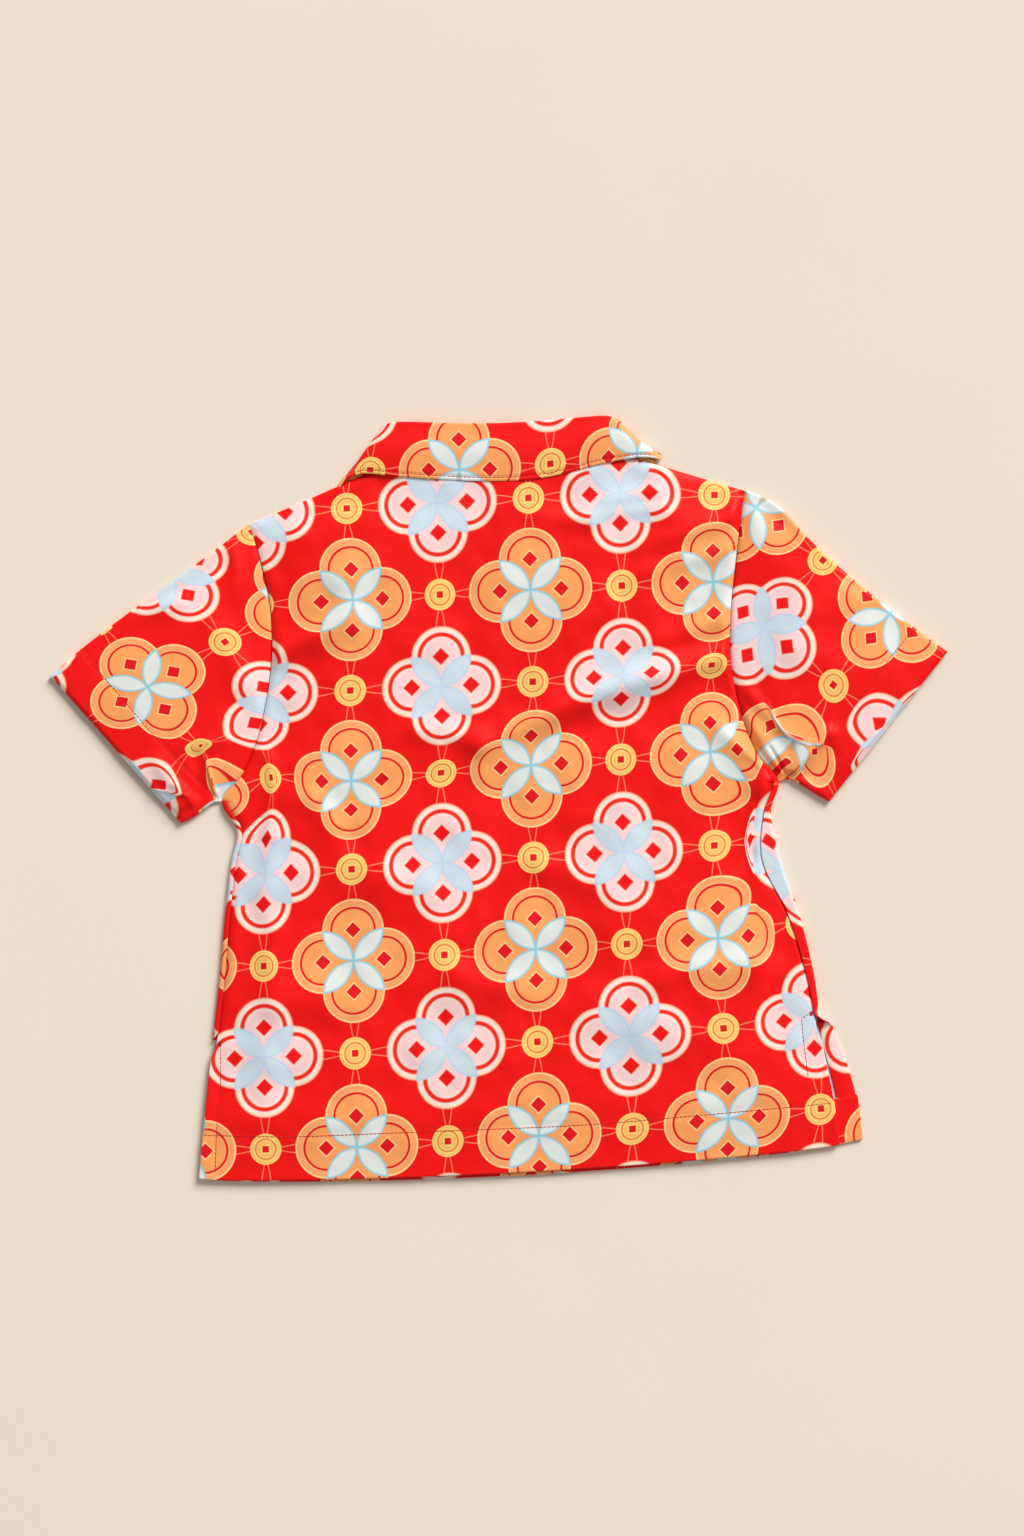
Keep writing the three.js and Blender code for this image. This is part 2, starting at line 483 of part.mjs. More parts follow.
function collar() {
  const half = (edge) => ({
    roll: new THREE.SplineCurve(COLLAR.map((row) => plan(row.rollX, row.rollY))),
    edge: new THREE.SplineCurve(COLLAR.map((row) => plan(row.edgeX, row[edge]))),
  });
  const sides = { left: half("edgeL"), right: half("edgeR") };
  const grids = { outside: [], inside: [] };
  // The neck seam follows the panels' own necklines, straight from step to step.
  const seamRow = (sign, row) => {
    const across = 0.5 + sign * row.neck * (NECK_RIGHT - 0.5);
    return bodyPoint(across, 1, row.turn < 90 ? frontTop : backTop);
  };
  const station = (side, t) => {
    const sign = side === "left" ? -1 : 1;
    const place = (p) => plan(sign * p.x + COLLAR_SHIFT, p.y + COLLAR_TILT * sign * p.x);
    const row = Math.min(COLLAR.length - 2, Math.floor(t * (COLLAR.length - 1) + 1e-9));
    const part = t * (COLLAR.length - 1) - row;
    const before = seamRow(sign, COLLAR[row]);
    const after = seamRow(sign, COLLAR[row + 1]);
    const seam = before.clone().lerp(after, part);
    const roll = place(sides[side].roll.getPoint(t));
    const edge = place(sides[side].edge.getPoint(t));
    const degrees = lerp(COLLAR[row].turn, COLLAR[row + 1].turn, part);
    const turn = THREE.MathUtils.degToRad(degrees);
    seam.x -= sign * (STAND_INNER + CLOTH) * Math.sin(turn);
    const out = plan(sign, 0);
    const upwards = roll.clone().sub(seam).normalize();
    // Clear of the seam, square to it, or twice as far up at the sharp end of the shoulder.
    const run = after.clone().sub(before);
    const square = plan(-run.y, run.x).normalize().multiplyScalar(SEAM * Math.sign(run.x));
    const clear = seam.clone().add(run.length() < SEAM ? upwards.clone().multiplyScalar(2 * SEAM) : square);
    const put = (at, depth) => new THREE.Vector3(
      at.x + out.x * depth * Math.sin(turn), at.y + out.y * depth * Math.sin(turn),
      COLLAR_MID - depth * Math.cos(turn));
    const foot = roll.clone().addScaledVector(upwards, -ROLL_OUTER);
    const column = (standDepth, fallDepth) => {
      const middle = (standDepth + fallDepth) / 2;
      const radius = (fallDepth - standDepth) / 2;
      return [
        ...STAND_STEPS.map((share) => put(clear.clone().lerp(foot, share), standDepth)),
        ...COLLAR_ROLL.map((part) => put(
          foot.clone().addScaledVector(upwards, radius * Math.sin(Math.PI * part)),
          middle - radius * Math.cos(Math.PI * part))),
        ...FALL_STEPS.map((share) => put(foot.clone().lerp(edge, share), fallDepth)),
      ];
    };
    grids.outside.push(column(STAND_INNER, FALL_OUTER));
    grids.inside.push(column(STAND_INNER + CLOTH, FALL_OUTER - CLOTH));
  };
  const rounds = evenShares(2 * (COLLAR.length - 1));
  rounds.forEach((t) => station("left", t));
  rounds.slice(0, -1).reverse().forEach((t) => station("right", t));
  return wall("collar", materials.print, grids.outside, grids.inside);
}

// ---------------------------------------------------------------- buttons
// Plain round buttons with a raised rim, face down under the centre front.
const RIM = { wide: 1.6, slope: 0.5, deep: 0.5, edge: 0.4 }; // the rim on the face
const BACK_BEVEL = { wide: 0.9, deep: 0.6 }; // the bevel round the back
const BUTTON_SIDES = 16;
const HALVINGS = 20; // enough to find a height up the body to a thousandth of a millimetre
function centreFront(y) {
  let low = 0;
  let high = 1;
  for (let halving = 0; halving < HALVINGS; halving += 1) {
    const middle = (low + high) / 2;
    if (bodyPoint(0.5, middle, frontTop).y < y) {
      low = middle;
    } else {
      high = middle;
    }
  }
  return bodyPoint(0.5, low, frontTop).x;
}
function buttons() {
  const r = BUTTON.across / 2;
  const t = BUTTON.thick;
  const profile = [
    [0, RIM.deep], [r - RIM.wide, RIM.deep], [r - RIM.wide + RIM.slope, 0], [r - RIM.edge, 0],
    [r, RIM.deep], [r, t - BACK_BEVEL.deep], [r - BACK_BEVEL.wide, t], [0, t],
  ].map(([x, z]) => plan(x, z));
  return evenShares(BUTTON.count - 1).map((_, i) => {
    const geometry = new THREE.LatheGeometry(profile, BUTTON_SIDES).rotateX(Math.PI / 2);
    const y = BUTTON.first - BUTTON.pitch * i;
    const disc = new THREE.Mesh(geometry, materials.button);
    disc.name = `button_${i + 1}`;
    disc.position.set(centreFront(y), y, 0);
    return disc;
  });
}

// ---------------------------------------------------------------- the shirt
const shirt = new THREE.Group();
shirt.add(
  backPanel(),
  frontPanel("left"),
  frontPanel("right"),
  sleeve("left", SLEEVE_LEFT),
  sleeve("right", SLEEVE_RIGHT),
  collar(),
  ...buttons(),
);
const box = new THREE.Box3().setFromObject(shirt);
const middle = box.getCenter(new THREE.Vector3());
shirt.position.set(-middle.x, -middle.y, -box.min.z);

export default shirt;
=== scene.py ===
"""A small child's short-sleeved tang shirt in printed cotton satin, laid flat with its back up.

The shirt is put together piece by piece, as it is sewn: back, fronts, sleeves, collar, stitching
and buttons. Then come the surface that it lies on, the light and the camera. Sizes are in
millimetres, and only the meshes are in metres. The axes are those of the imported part: +X across
the back to the wearer's right, +Y from hem to collar and +Z up out of the back.
"""

import bpy
import numpy as np
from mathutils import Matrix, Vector
from mathutils.bvhtree import BVHTree


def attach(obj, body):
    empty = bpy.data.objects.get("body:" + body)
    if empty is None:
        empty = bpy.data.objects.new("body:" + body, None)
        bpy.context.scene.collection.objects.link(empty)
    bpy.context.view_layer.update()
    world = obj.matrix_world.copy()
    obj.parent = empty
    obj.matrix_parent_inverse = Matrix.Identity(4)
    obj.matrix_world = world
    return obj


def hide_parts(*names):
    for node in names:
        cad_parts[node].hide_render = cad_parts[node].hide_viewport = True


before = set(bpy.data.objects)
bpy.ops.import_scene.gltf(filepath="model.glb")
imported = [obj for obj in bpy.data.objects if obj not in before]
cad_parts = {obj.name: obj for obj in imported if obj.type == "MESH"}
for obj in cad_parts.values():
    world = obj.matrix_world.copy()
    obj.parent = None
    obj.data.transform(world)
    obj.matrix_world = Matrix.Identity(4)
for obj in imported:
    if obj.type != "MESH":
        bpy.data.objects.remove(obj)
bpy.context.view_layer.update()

# ================================================================ back
# Cut in one from a red cotton satin printed with linked coin medallions. It is hemmed, its two
# vent edges are turned and stitched, and it lies over both fronts. Its sides meet the strips of
# the fronts that roll round onto the back.
MM = 0.001
CLOTH = 0.55  # one layer of cloth
TURNED = 0.95  # cloth and its turned hem
SEAM = 0.3  # gap between two pieces along a seam
LAYER = 1.3  # rise from one laid layer to the next
FOLD = 4.0  # height of the soft fold at a side
EDGE_HEIGHT = 2.3  # of the upper layer at the armholes and shoulders
NECK_HEIGHT = 4.9  # of the upper layer at the neck
MIDDLE_HEIGHT = 6.0  # of the upper layer down the middle, over the buttons
HEM_HEIGHT = 3.6  # of the upper layer at the hem
LEAF_REACH = 94  # how far out from the middle the collar's front leaves reach
NECK_HALF = 62  # half the width of the neck
NECK_RISE = 29.5  # rise of the shoulder from its tip to the neck
NECK_DIP = 3.5  # hollow of the back neckline
HEM_BOW = 6.4  # sag of the hem between its ends
HEM_DEPTH = 25.5  # from the hem's fold up to its stitching
HEM_STEP = 0.25  # rise of the outer face over a turned hem

# Levels up the body: the ends of the outline, how far the right front wraps onto the back, and
# how far its free edge stands out past the back's below the vent.
LEVELS = np.array([
    ("hem", -174.3, -220.3, 198.5, -200.3, 3, 13),
    ("hem top", -171, -183, 194.5, -172, 3, 12.5),
    ("vent", -168, -155, 189.5, -147, 3, 10),
    ("vent top", -165.2, -134, 186.2, -124, 3, 4.5),
    ("hip", -161.8, -102, 182.5, -99, 4.5, 0),
    ("waist", -159, -70, 174.5, -67, 6.5, 0),
    ("ribs", -155.5, -38, 164, -37, 10.5, 0),
    ("chest", -152, -19, 158.2, -9, 4, 0),
    ("underarm", -160.5, -2, 162.5, 10, 2.8, 0),
    ("armhole foot", -148.5, 14, 150.5, 25, 0, 0),
    ("armhole low", -139, 37, 141.5, 46, 0, 0),
    ("armhole", -132.3, 72, 135, 78, 0, 0),
    ("armhole high", -131.8, 106, 135, 112, 0, 0),
    ("armhole top", -137, 134, 138.5, 145, 0, 0),
    ("shoulder tip", -144.7, 158.6, 142.5, 178.4, 0, 0),
], dtype=[("name", "U16"), ("left_x", float), ("left_y", float), ("right_x", float),
          ("right_y", float), ("wrap", float), ("peep", float)])


def table_points(table, *names):
    """The named columns of a table, side by side, one row for each of its rows."""
    return np.stack([table[name] for name in names], axis=-1)


def level(name):
    """Where a named level stands, as a share of the way from the hem, 0, to the shoulders, 1."""
    return np.flatnonzero(LEVELS["name"] == name)[0] / (len(LEVELS) - 1)


UNDERARM = level("underarm")
VENT_TOP = level("vent top")


def shares(count):
    """Evenly spaced shares from 0 to 1."""
    return np.linspace(0, 1, count)


def length(vectors):
    """Lengths of vectors."""
    return np.linalg.norm(vectors, axis=-1)


def gone(points, axis):
    """Distance gone from the first row (axis 0) or column (axis 1) of a grid of points."""
    return np.insert(np.cumsum(length(np.diff(points, axis=axis)), axis=axis), 0, 0, axis=axis)


def raised(plan, height):
    """Points in space from places in plan and their heights."""
    return np.concatenate([plan, height[..., None]], axis=-1)


def columns(*grids):
    """Grids side by side, the columns of one after those of another."""
    return np.concatenate(grids, axis=1)


def ease(distance, reach):
    """A soft step, 3s^2 - 2s^3 of s = distance / reach held between 0 and 1."""
    share = np.clip(distance / reach, 0, 1)
    return share * share * (3 - 2 * share)


def bell(distance, reach):
    """A soft bell, exp(-(distance / reach)^2)."""
    return np.exp(-(distance / reach) ** 2)


def mix(a, b, share):
    """a at share 0, b at share 1, in a straight line between."""
    return a + (b - a) * share


def past_hem(distance, depth):
    """0 over a turned hem and 1 past its stitching, at a distance from the hem's fold."""
    return ease(distance - depth + 0.5, 1.5)


def curve(points, at):
    """Catmull-Rom curve through evenly numbered points: at 0 the first, at 1 the last, and each
    span a cubic whose end slopes are half the chord between the neighbours on either side."""
    last = len(points) - 1
    place = np.clip(at, 0, 1) * last
    start = np.clip(np.floor(place).astype(int), 0, last - 1)
    t = (place - start)[..., None]
    p0, p1, p2, p3 = (points[np.clip(start + step, 0, last)] for step in (-1, 0, 1, 2))
    m1, m2 = (p2 - p0) / 2, (p3 - p1) / 2
    return (2 * t**3 - 3 * t**2 + 1) * p1 + (t**3 - 2 * t**2 + t) * m1 \
        + (3 * t**2 - 2 * t**3) * p2 + (t**3 - t**2) * m2


LEFT_SIDE = table_points(LEVELS, "left_x", "left_y")
RIGHT_SIDE = table_points(LEVELS, "right_x", "right_y")


def width_at(up):
    """Distance between the outline's left and right sides."""
    return length(curve(RIGHT_SIDE, up) - curve(LEFT_SIDE, up))


NECK_LEFT = float(0.5 - NECK_HALF / width_at(np.float64(1)))
NECK_RIGHT = 1 - NECK_LEFT


def shoulder_rise(across):
    """Straight up from each shoulder tip to the end of the neck, and level between those."""
    return NECK_RISE * np.minimum(1, np.minimum(across / NECK_LEFT, (1 - across) / NECK_LEFT))


def neck_hollow(across, flat):
    """A half ellipse between the ends of the neck, level across the middle share flat."""
    off = np.maximum(flat, np.abs(across - 0.5) / (0.5 - NECK_LEFT))
    return np.sqrt(np.maximum(0, 1 - off * off))


def back_top(across):
    """Upper edge of the back: shoulders and a shallow neckline."""
    return shoulder_rise(across) - NECK_DIP * neck_hollow(across, 0)


def body_plan(across, up, top, peep=0.0):
    """Plan of the laid body. Across runs 0 to 1 between the sides and up 0 to 1 from hem to
    shoulders; the point lies straight between the sides, lifted by the top edge's rise towards
    the shoulders and sagging by the hem's bow towards the hem."""
    point = mix(curve(LEFT_SIDE, up), curve(RIGHT_SIDE, up), across[..., None])
    near_top = np.clip((up - VENT_TOP) / (1 - VENT_TOP), 0, 1) ** 2.2
    near_hem = (1 - np.clip(up / VENT_TOP, 0, 1)) ** 1.5
    sag = np.maximum(0, np.sin(np.pi * across)) ** 0.6
    point[..., 1] += top(across) * near_top - (HEM_BOW + peep) * sag * near_hem
    return point


def below_vent(side, up):
    """Distance down the side from the top of the vent, 0 above it."""
    vent_top = curve(side, np.float64(VENT_TOP))
    return np.where(up < VENT_TOP, length(curve(side, up) - vent_top), 0)


def near_leaves(x):
    """1 over the collar's front leaves, 0 out on the shoulders."""
    return 1 - ease(np.abs(x) - LEAF_REACH, 20)


def back_height(across, up, plan):
    """Top of the upper layer: low at sides, armholes and shoulders, higher at the hem and the
    neck, and highest down the middle, where it rides over the buttoned fronts."""
    x, y = plan[..., 0], plan[..., 1]
    from_side = np.minimum(across, 1 - across) * width_at(up)
    in_neck = ease(NECK_HALF + 8 - np.abs(x), 16)
    edge = mix(EDGE_HEIGHT + LAYER * near_leaves(x), NECK_HEIGHT, in_neck)
    shoulder_y = body_plan(across, np.ones_like(up), back_top)[..., 1]
    hem_y = body_plan(across, np.zeros_like(up), back_top)[..., 1]
    plateau = mix(MIDDLE_HEIGHT, NECK_HEIGHT, ease(y - 142, 34))
    inward = mix(HEM_HEIGHT, plateau, ease(y - hem_y, 40))
    side = mix(np.minimum(FOLD, inward), inward, ease(from_side, 46))
    return mix(edge, side, ease(shoulder_y - y, 26))


CREASE = [("name", "U20"), ("x0", float), ("y0", float), ("x1", float), ("y1", float),
          ("x2", float), ("y2", float), ("half", float), ("rise0", float), ("rise1", float),
          ("take0", float), ("take1", float), ("reach", float)]
# Creases left in the back by the hand that laid it out: three points along each, its half width,
# its rise at either end, the cloth that it takes up at either end, and how far from it the cloth
# has been drawn in. A negative rise is a trough, a little below the flat of the cloth.
BACK_CREASES = np.array([
    ("breast fold", 138, 85, 62, 62, -10, 30, 8, 4.6, 2.6, 7, 4, 95),
    ("under the breast", 128, 62, 70, 46, 16, 24, 9, -1.6, -1.0, 0, 0, 1),
    ("breast end", -48, 38, -30, 38, -12, 33, 7, 2.4, 1.2, 0, 0, 1),
    ("armhole fold", 139, 107, 118, 99, 92, 91, 6, 3.4, 0.8, 2, 0, 26),
    ("armhole hollow", 128, 88, 112, 80, 92, 75, 5, -1.0, -0.4, 0, 0, 1),
    ("left armhole fold", -133, 83, -112, 92, -84, 107, 7, 4.2, 1.4, 2, 0, 30),
    ("left armhole trough", -122, 68, -106, 75, -88, 88, 6, -1.2, -1.0, 0, 0, 1),
    ("left armhole nip", -133, 68, -126, 70, -116, 72, 2.4, 1.6, 0.2, 1, 0, 10),
    ("left armhole nip", -134, 74, -127, 75.5, -119, 77, 2.4, 1.6, 0.2, 1, 0, 10),
    ("right shoulder fold", 141, 166, 116, 156, 82, 145, 6, 3.2, 1.0, 2, 0, 20),
    ("right shoulder nip", 139, 144, 106, 137, 76, 128, 6, 2.2, 0.6, 1, 0, 16),
    ("collar ripple", 92, 178, 72, 174, 52, 171, 3.6, 1.6, 0.6, 0, 0, 1),
    ("collar ripple", 96, 168, 70, 166, 44, 164, 4, 1.5, 0.4, 0, 0, 1),
    ("collar fold", 52, 160, 32, 162, 12, 168, 6, 1.8, 0.8, 0, 0, 1),
    ("right armpit fold", 158, 4, 140, 28, 112, 52, 9, 4.0, 0.8, 5, 1, 40),
    ("right armpit nip", 151, 22, 140, 30, 128, 42, 4, 2.2, 0.6, 2, 0, 16),
    ("side pinch", 155, -19, 150, -21, 145, -23, 1.6, 1.6, 0.8, 14, 1, 10),
    ("side tuck", 147, -4, 144, -24, 147, -44, 0.9, 0.9, 0.9, 16, 16, 16),
    ("side pinch hollow", 148, -34, 138, -40, 124, -46, 6, -1.8, -0.4, 0, 0, 1),
    ("left side gather", -133, 24, -131, 4, -134, -22, 3, 1.2, 1.0, 6, 4, 12),
    ("left rib fold", -131, -24, -133, -40, -136, -64, 7, 2.4, 1.2, 1, 0, 20),
    ("left waist fold", -130, -78, -133, -96, -130, -122, 8, 1.6, 2.2, 0, 1, 20),
    ("left flank fold", -108, -2, -98, -18, -90, -40, 8, 2.0, 1.0, 0, 0, 1),
    ("left flank swell", -74, -44, -56, -50, -34, -54, 12, 1.9, 1.0, 0, 0, 1),
    ("middle dip", 4, -6, 22, -17, 44, -34, 15, -1.4, -0.8, 0, 0, 1),
    ("middle fold", 26, -40, 50, -46, 72, -58, 11, 2.6, 1.0, 0, 0, 1),
    ("lower middle fold", -26, -102, -6, -109, 24, -112, 10, 2.3, 0.8, 0, 0, 1),
    ("lower right fold", 84, -108, 112, -100, 148, -96, 9, 1.4, 3.0, 0, 0, 1),
    ("lower left swell", -112, -116, -82, -126, -50, -140, 12, 2.0, 0.8, 0, 0, 1),
    ("lower right swell", 58, -124, 92, -132, 134, -148, 14, 2.0, 0.8, 0, 0, 1),
    ("upper left swell", -92, 128, -66, 136, -38, 150, 10, 2.2, 0.8, 0, 0, 1),
    ("neck swell", 62, 112, 50, 104, 34, 86, 8, 2.0, 1.0, 0, 0, 1),
], dtype=CREASE)
# Where the cloth was pulled a little in its own plane as it was laid, by how much, and how far
# round the pull reaches.
PULL = [("x", float), ("y", float), ("by_x", float), ("by_y", float), ("reach", float)]
NO_PULLS = np.array([], dtype=PULL)
BACK_PULLS = np.array([
    (-70, -215, 0, -3.4, 65),
    (50, -215, 0, -3.4, 65),
    (138, -180, 4.4, 1.4, 58),
    (-85, 115, 3, -0.6, 36),
    (110, 15, -1.8, 0, 50),
    (128, 180, 2.2, -3.4, 26),
    (151, -26, -10.5, 1.2, 22),
    (173, -72, -5, 6, 18),
    (146, 26, -4, 1.5, 20),
    (-131, 10, 5.2, 5.2, 20),
    (-153, -2, 10, -6, 17),
    (-134, -18, 1.5, 5, 17),
    (-150, -43, 4, 1, 20),
    (-156, -92, 2.5, 0.5, 18),
    (178, -136, 0.4, 2.8, 26),
    (190, -182, 3.2, 2.6, 20),
], dtype=PULL)


def beside(plan, line):
    """Place beside a line through a few points: the share of the line at the nearest point, the
    distance from it, the distance to the left of it, and its left normal there, which turns
    evenly from one short span to the next."""
    points = curve(np.array(line, float), shares(9))
    normals = unit(np.gradient(points, axis=0))[:, ::-1] * [-1, 1]
    share, left = np.zeros(plan.shape[:-1]), np.zeros(plan.shape[:-1])
    away, normal = np.full(plan.shape[:-1], np.inf), np.zeros(plan.shape)
    for number, (start, end) in enumerate(zip(points[:-1], points[1:])):
        run = end - start
        along = np.clip((plan - start) @ run / (run @ run), 0, 1)
        off = plan - start - along[..., None] * run
        aside = unit(mix(normals[number], normals[number + 1], along[..., None]))
        gap = length(off)
        near = gap < away
        away = np.where(near, gap, away)
        share = np.where(near, (number + along) / (len(points) - 1), share)
        left = np.where(near, (off * aside).sum(axis=-1), left)
        normal = np.where(near[..., None], aside, normal)
    return share, away, left, normal


def creases(plan, table):
    """Height and drawing-in of a table of creases. The height is the sum of soft ridges, rise *
    bell(distance, half width). The cloth on either side is drawn towards the crease by half of
    what it takes up, take / 2 * tanh(distance / half width), which fades over the reach."""
    height, drawn = np.zeros(plan.shape[:-1]), np.zeros(plan.shape)
    for row in table:
        line = [(row["x0"], row["y0"]), (row["x1"], row["y1"]), (row["x2"], row["y2"])]
        share, away, left, normal = beside(plan, line)
        height += mix(row["rise0"], row["rise1"], share) * bell(away, row["half"])
        take = mix(row["take0"], row["take1"], share) * bell(away, row["reach"])
        drawn += normal * (take / 2 * np.tanh(left / row["half"]))[..., None]
    return height, drawn


def ripple(plan, seed, longest, rise):
    """Shallow undulations: a sum of eight plane waves with seeded directions and phases, whose
    lengths go from the longest down to a third of it."""
    draw = np.random.default_rng(seed)
    angles, phases = draw.uniform(0, np.pi, 8), draw.uniform(0, 2 * np.pi, 8)
    waves = longest / np.linspace(1, 3, 8)
    height = np.zeros(plan.shape[:-1])
    for angle, phase, wave in zip(angles, phases, waves):
        along = plan @ np.array([np.cos(angle), np.sin(angle)])
        height += np.sin(2 * np.pi * along / wave + phase) * (wave / longest)
    return rise * height / 4


def print_place(plan, centre, across, up, drawn=0, pulls=NO_PULLS):
    """Place in the print, in steps of its lattice. Centre is the middle of an orange medallion,
    across and up are one step on the cloth as it lies, drawn is what the creases take up, and
    each pull has moved the cloth by a soft bell, by * bell(distance, reach)."""
    even = plan + drawn
    for pull in pulls:
        gap = np.hypot(plan[..., 0] - pull["x"], plan[..., 1] - pull["y"])
        even = even - bell(gap, pull["reach"])[..., None] * [pull["by_x"], pull["by_y"]]
    return (even - centre) @ np.linalg.inv(np.array([across, up], float))


def unit(vectors):
    """Vectors scaled to length 1."""
    return vectors / np.maximum(np.linalg.norm(vectors, axis=-1, keepdims=True), 1e-9)


def patches(corners, coords, flip=False):
    """Quads of a grid of corner numbers, with the print place of each quad's corners."""
    order = ((0, 0), (1, 0), (1, 1), (0, 1)) if flip else ((0, 0), (0, 1), (1, 1), (1, 0))
    rows, cols = corners.shape[0] - 1, corners.shape[1] - 1
    quads = np.stack([corners[r:r + rows, c:c + cols] for r, c in order], axis=-1)
    places = np.stack([coords[r:r + rows, c:c + cols] for r, c in order], axis=-2)
    return quads.reshape(-1, 4), places.reshape(-1, 4, 2)


def make_mesh(name, parts, materials):
    """One mesh object from parts, each of points in millimetres, quads, the print places of the
    quads' corners, and the quads' material numbers."""
    starts = np.cumsum([0] + [len(part[0]) for part in parts[:-1]])
    points, places, slots = (np.concatenate([part[k] for part in parts]) for k in (0, 2, 3))
    quads = np.concatenate([part[1] + start for part, start in zip(parts, starts)])
    mesh = bpy.data.meshes.new(name)
    mesh.vertices.add(len(points))
    mesh.vertices.foreach_set("co", (points * MM).astype(np.float32).ravel())
    mesh.loops.add(quads.size)
    mesh.loops.foreach_set("vertex_index", quads.astype(np.int32).ravel())
    mesh.polygons.add(len(quads))
    mesh.polygons.foreach_set("loop_start", np.arange(0, quads.size, 4, dtype=np.int32))
    mesh.polygons.foreach_set("material_index", slots.astype(np.int32))
    mesh.polygons.foreach_set("use_smooth", np.ones(len(quads), bool))
    mesh.uv_layers.new(name="cloth").data.foreach_set("uv", places.astype(np.float32).ravel())
    mesh.update(calc_edges=True)
    mesh.validate()
    for material in materials:
        mesh.materials.append(material)
    piece = bpy.data.objects.new(name, mesh)
    bpy.context.scene.collection.objects.link(piece)
    return piece


EDGE_TURNS = np.pi * np.array([0.25, 0.5, 0.75])


def shell(outer, coords, thick, turned=None, turned_coords=None, ring=False):
    """A wall of cloth as a part for make_mesh. Outer is a grid of points on the face that shows,
    rows by columns, and the inner face lies thick behind it along the normal. A half-round edge
    joins the two: centre + normal * r cos(turn) + outwards * r sin(turn). Turned marks inner
    quads that show the printed face of a turned hem. A ring closes each row on itself."""
    rows, cols = outer.shape[:2]
    wrapped = columns(outer[:, -1:], outer, outer[:, :1])
    along = (wrapped[:, 2:] - wrapped[:, :-2]) / 2 if ring else np.gradient(outer, axis=1)
    upward = np.gradient(outer, axis=0)
    normal = unit(np.cross(along, upward))
    thick = np.broadcast_to(np.asarray(thick, float), (rows, cols))[..., None]
    inner = outer - normal * thick
    out = np.zeros_like(outer)
    out[0] -= unit(upward[0])
    out[-1] += unit(upward[-1])
    if not ring:
        out[:, 0] -= unit(along[:, 0])
        out[:, -1] += unit(along[:, -1])
    out = unit(out)
    numbers = np.arange(rows * cols).reshape(rows, cols)
    if ring:
        numbers = columns(numbers, numbers[:, :1])

    def rims(grid):
        """What a grid holds along the cloth's free edges."""
        if ring:
            return [grid[0], grid[-1, ::-1]]
        return [np.concatenate([grid[0, :-1], grid[:-1, -1], grid[-1, :0:-1], grid[::-1, 0]])]

    points = [outer.reshape(-1, 3), inner.reshape(-1, 3)]
    count = 2 * rows * cols
    inner_coords = coords if turned_coords is None else turned_coords
    faces = [patches(numbers, coords), patches(numbers + rows * cols, inner_coords, flip=True)]
    inner_slots = np.ones(len(faces[1][0]), int)
    if turned is not None:
        inner_slots[turned.reshape(-1)] = 0
    slots = [np.zeros(len(faces[0][0]), int), inner_slots]
    for edge, edge_coords in zip(rims(numbers), rims(coords)):
        first = edge[:-1]
        at, behind, outwards, half = (grid.reshape(rows * cols, -1)[first]
                                      for grid in (outer, normal, out, thick / 2))
        loops = [at - behind * half + half * (behind * np.cos(turn) + outwards * np.sin(turn))
                 for turn in EDGE_TURNS]
        middle = count + np.arange(len(loops) * len(first)).reshape(len(loops), -1)
        strip = np.concatenate([first[None], middle, first[None] + rows * cols])
        strip = columns(strip, strip[:, :1])
        points.extend(loops)
        count += middle.size
        edge_coords = np.broadcast_to(edge_coords, (len(strip), *edge_coords.shape))
        faces.append(patches(strip, edge_coords, flip=True))
        slots.append(np.zeros(len(faces[-1][0]), int))
    return (np.concatenate(points), np.concatenate([face[0] for face in faces]),
            np.concatenate([face[1] for face in faces]), np.concatenate(slots))


def linear(red, green, blue):
    """A colour of 0 to 255 per channel as the renderer's linear colour."""
    channels = np.array([red, green, blue]) / 255
    bright = np.where(channels <= 0.04045, channels / 12.92, ((channels + 0.055) / 1.055) ** 2.4)
    return (*(float(channel) for channel in bright), 1.0)


# ---------------------------------------------------------------- the print
# Linked coins, an old pattern. Coins of radius COIN stand in fours round the even points of a
# square lattice in orange and round the odd points in pink, so that neighbours overlap in four
# petals, and small coins stand between them on threads. Folded by its own mirrors, the whole
# print is one triangle: orange at (0, 0), a small coin at (1, 0) and pink at (1, 1).
# Radii and half widths are in steps of the lattice.
COIN, PINK_COIN, SMALL_COIN = 0.336, 0.325, 0.171
RING, PINK_RING, SMALL_RING = 0.241, 0.239, 0.109
RING_HALF, PINK_RING_HALF, SMALL_RING_HALF = 0.013, 0.024, 0.006
HOLE, PINK_HOLE, SMALL_HOLE = 0.086, 0.096, 0.037
CRISP, SOFT, BLURRED = 0.009, 0.024, 0.03  # how far one ink takes to turn into the next
THREAD_HALF = 0.0056  # half width of a printed thread
THREAD_START, THREAD_SPREAD = 0.0155, 0.031  # a thread's distance from the line between the coins
INK = {
    "ground": linear(243, 12, 10),
    "thread": linear(255, 132, 96),
    "small coin": linear(250, 190, 104),
    "small pale": linear(255, 222, 128),
    "small line": linear(226, 92, 44),
    "band": linear(252, 166, 104),
    "outline": linear(255, 220, 150),
    "ring": linear(228, 14, 22),
    "orange": linear(253, 164, 96),
    "hole": linear(228, 14, 26),
    "petal": linear(226, 231, 227),
    "petal line": linear(124, 204, 226),
    "pink edge": linear(254, 220, 186),
    "pink band": linear(253, 228, 216),
    "pink ring": linear(248, 40, 14),
    "pink": linear(250, 210, 210),
    "pink petal": linear(206, 221, 232),
    "pink vein": linear(184, 212, 238),
}


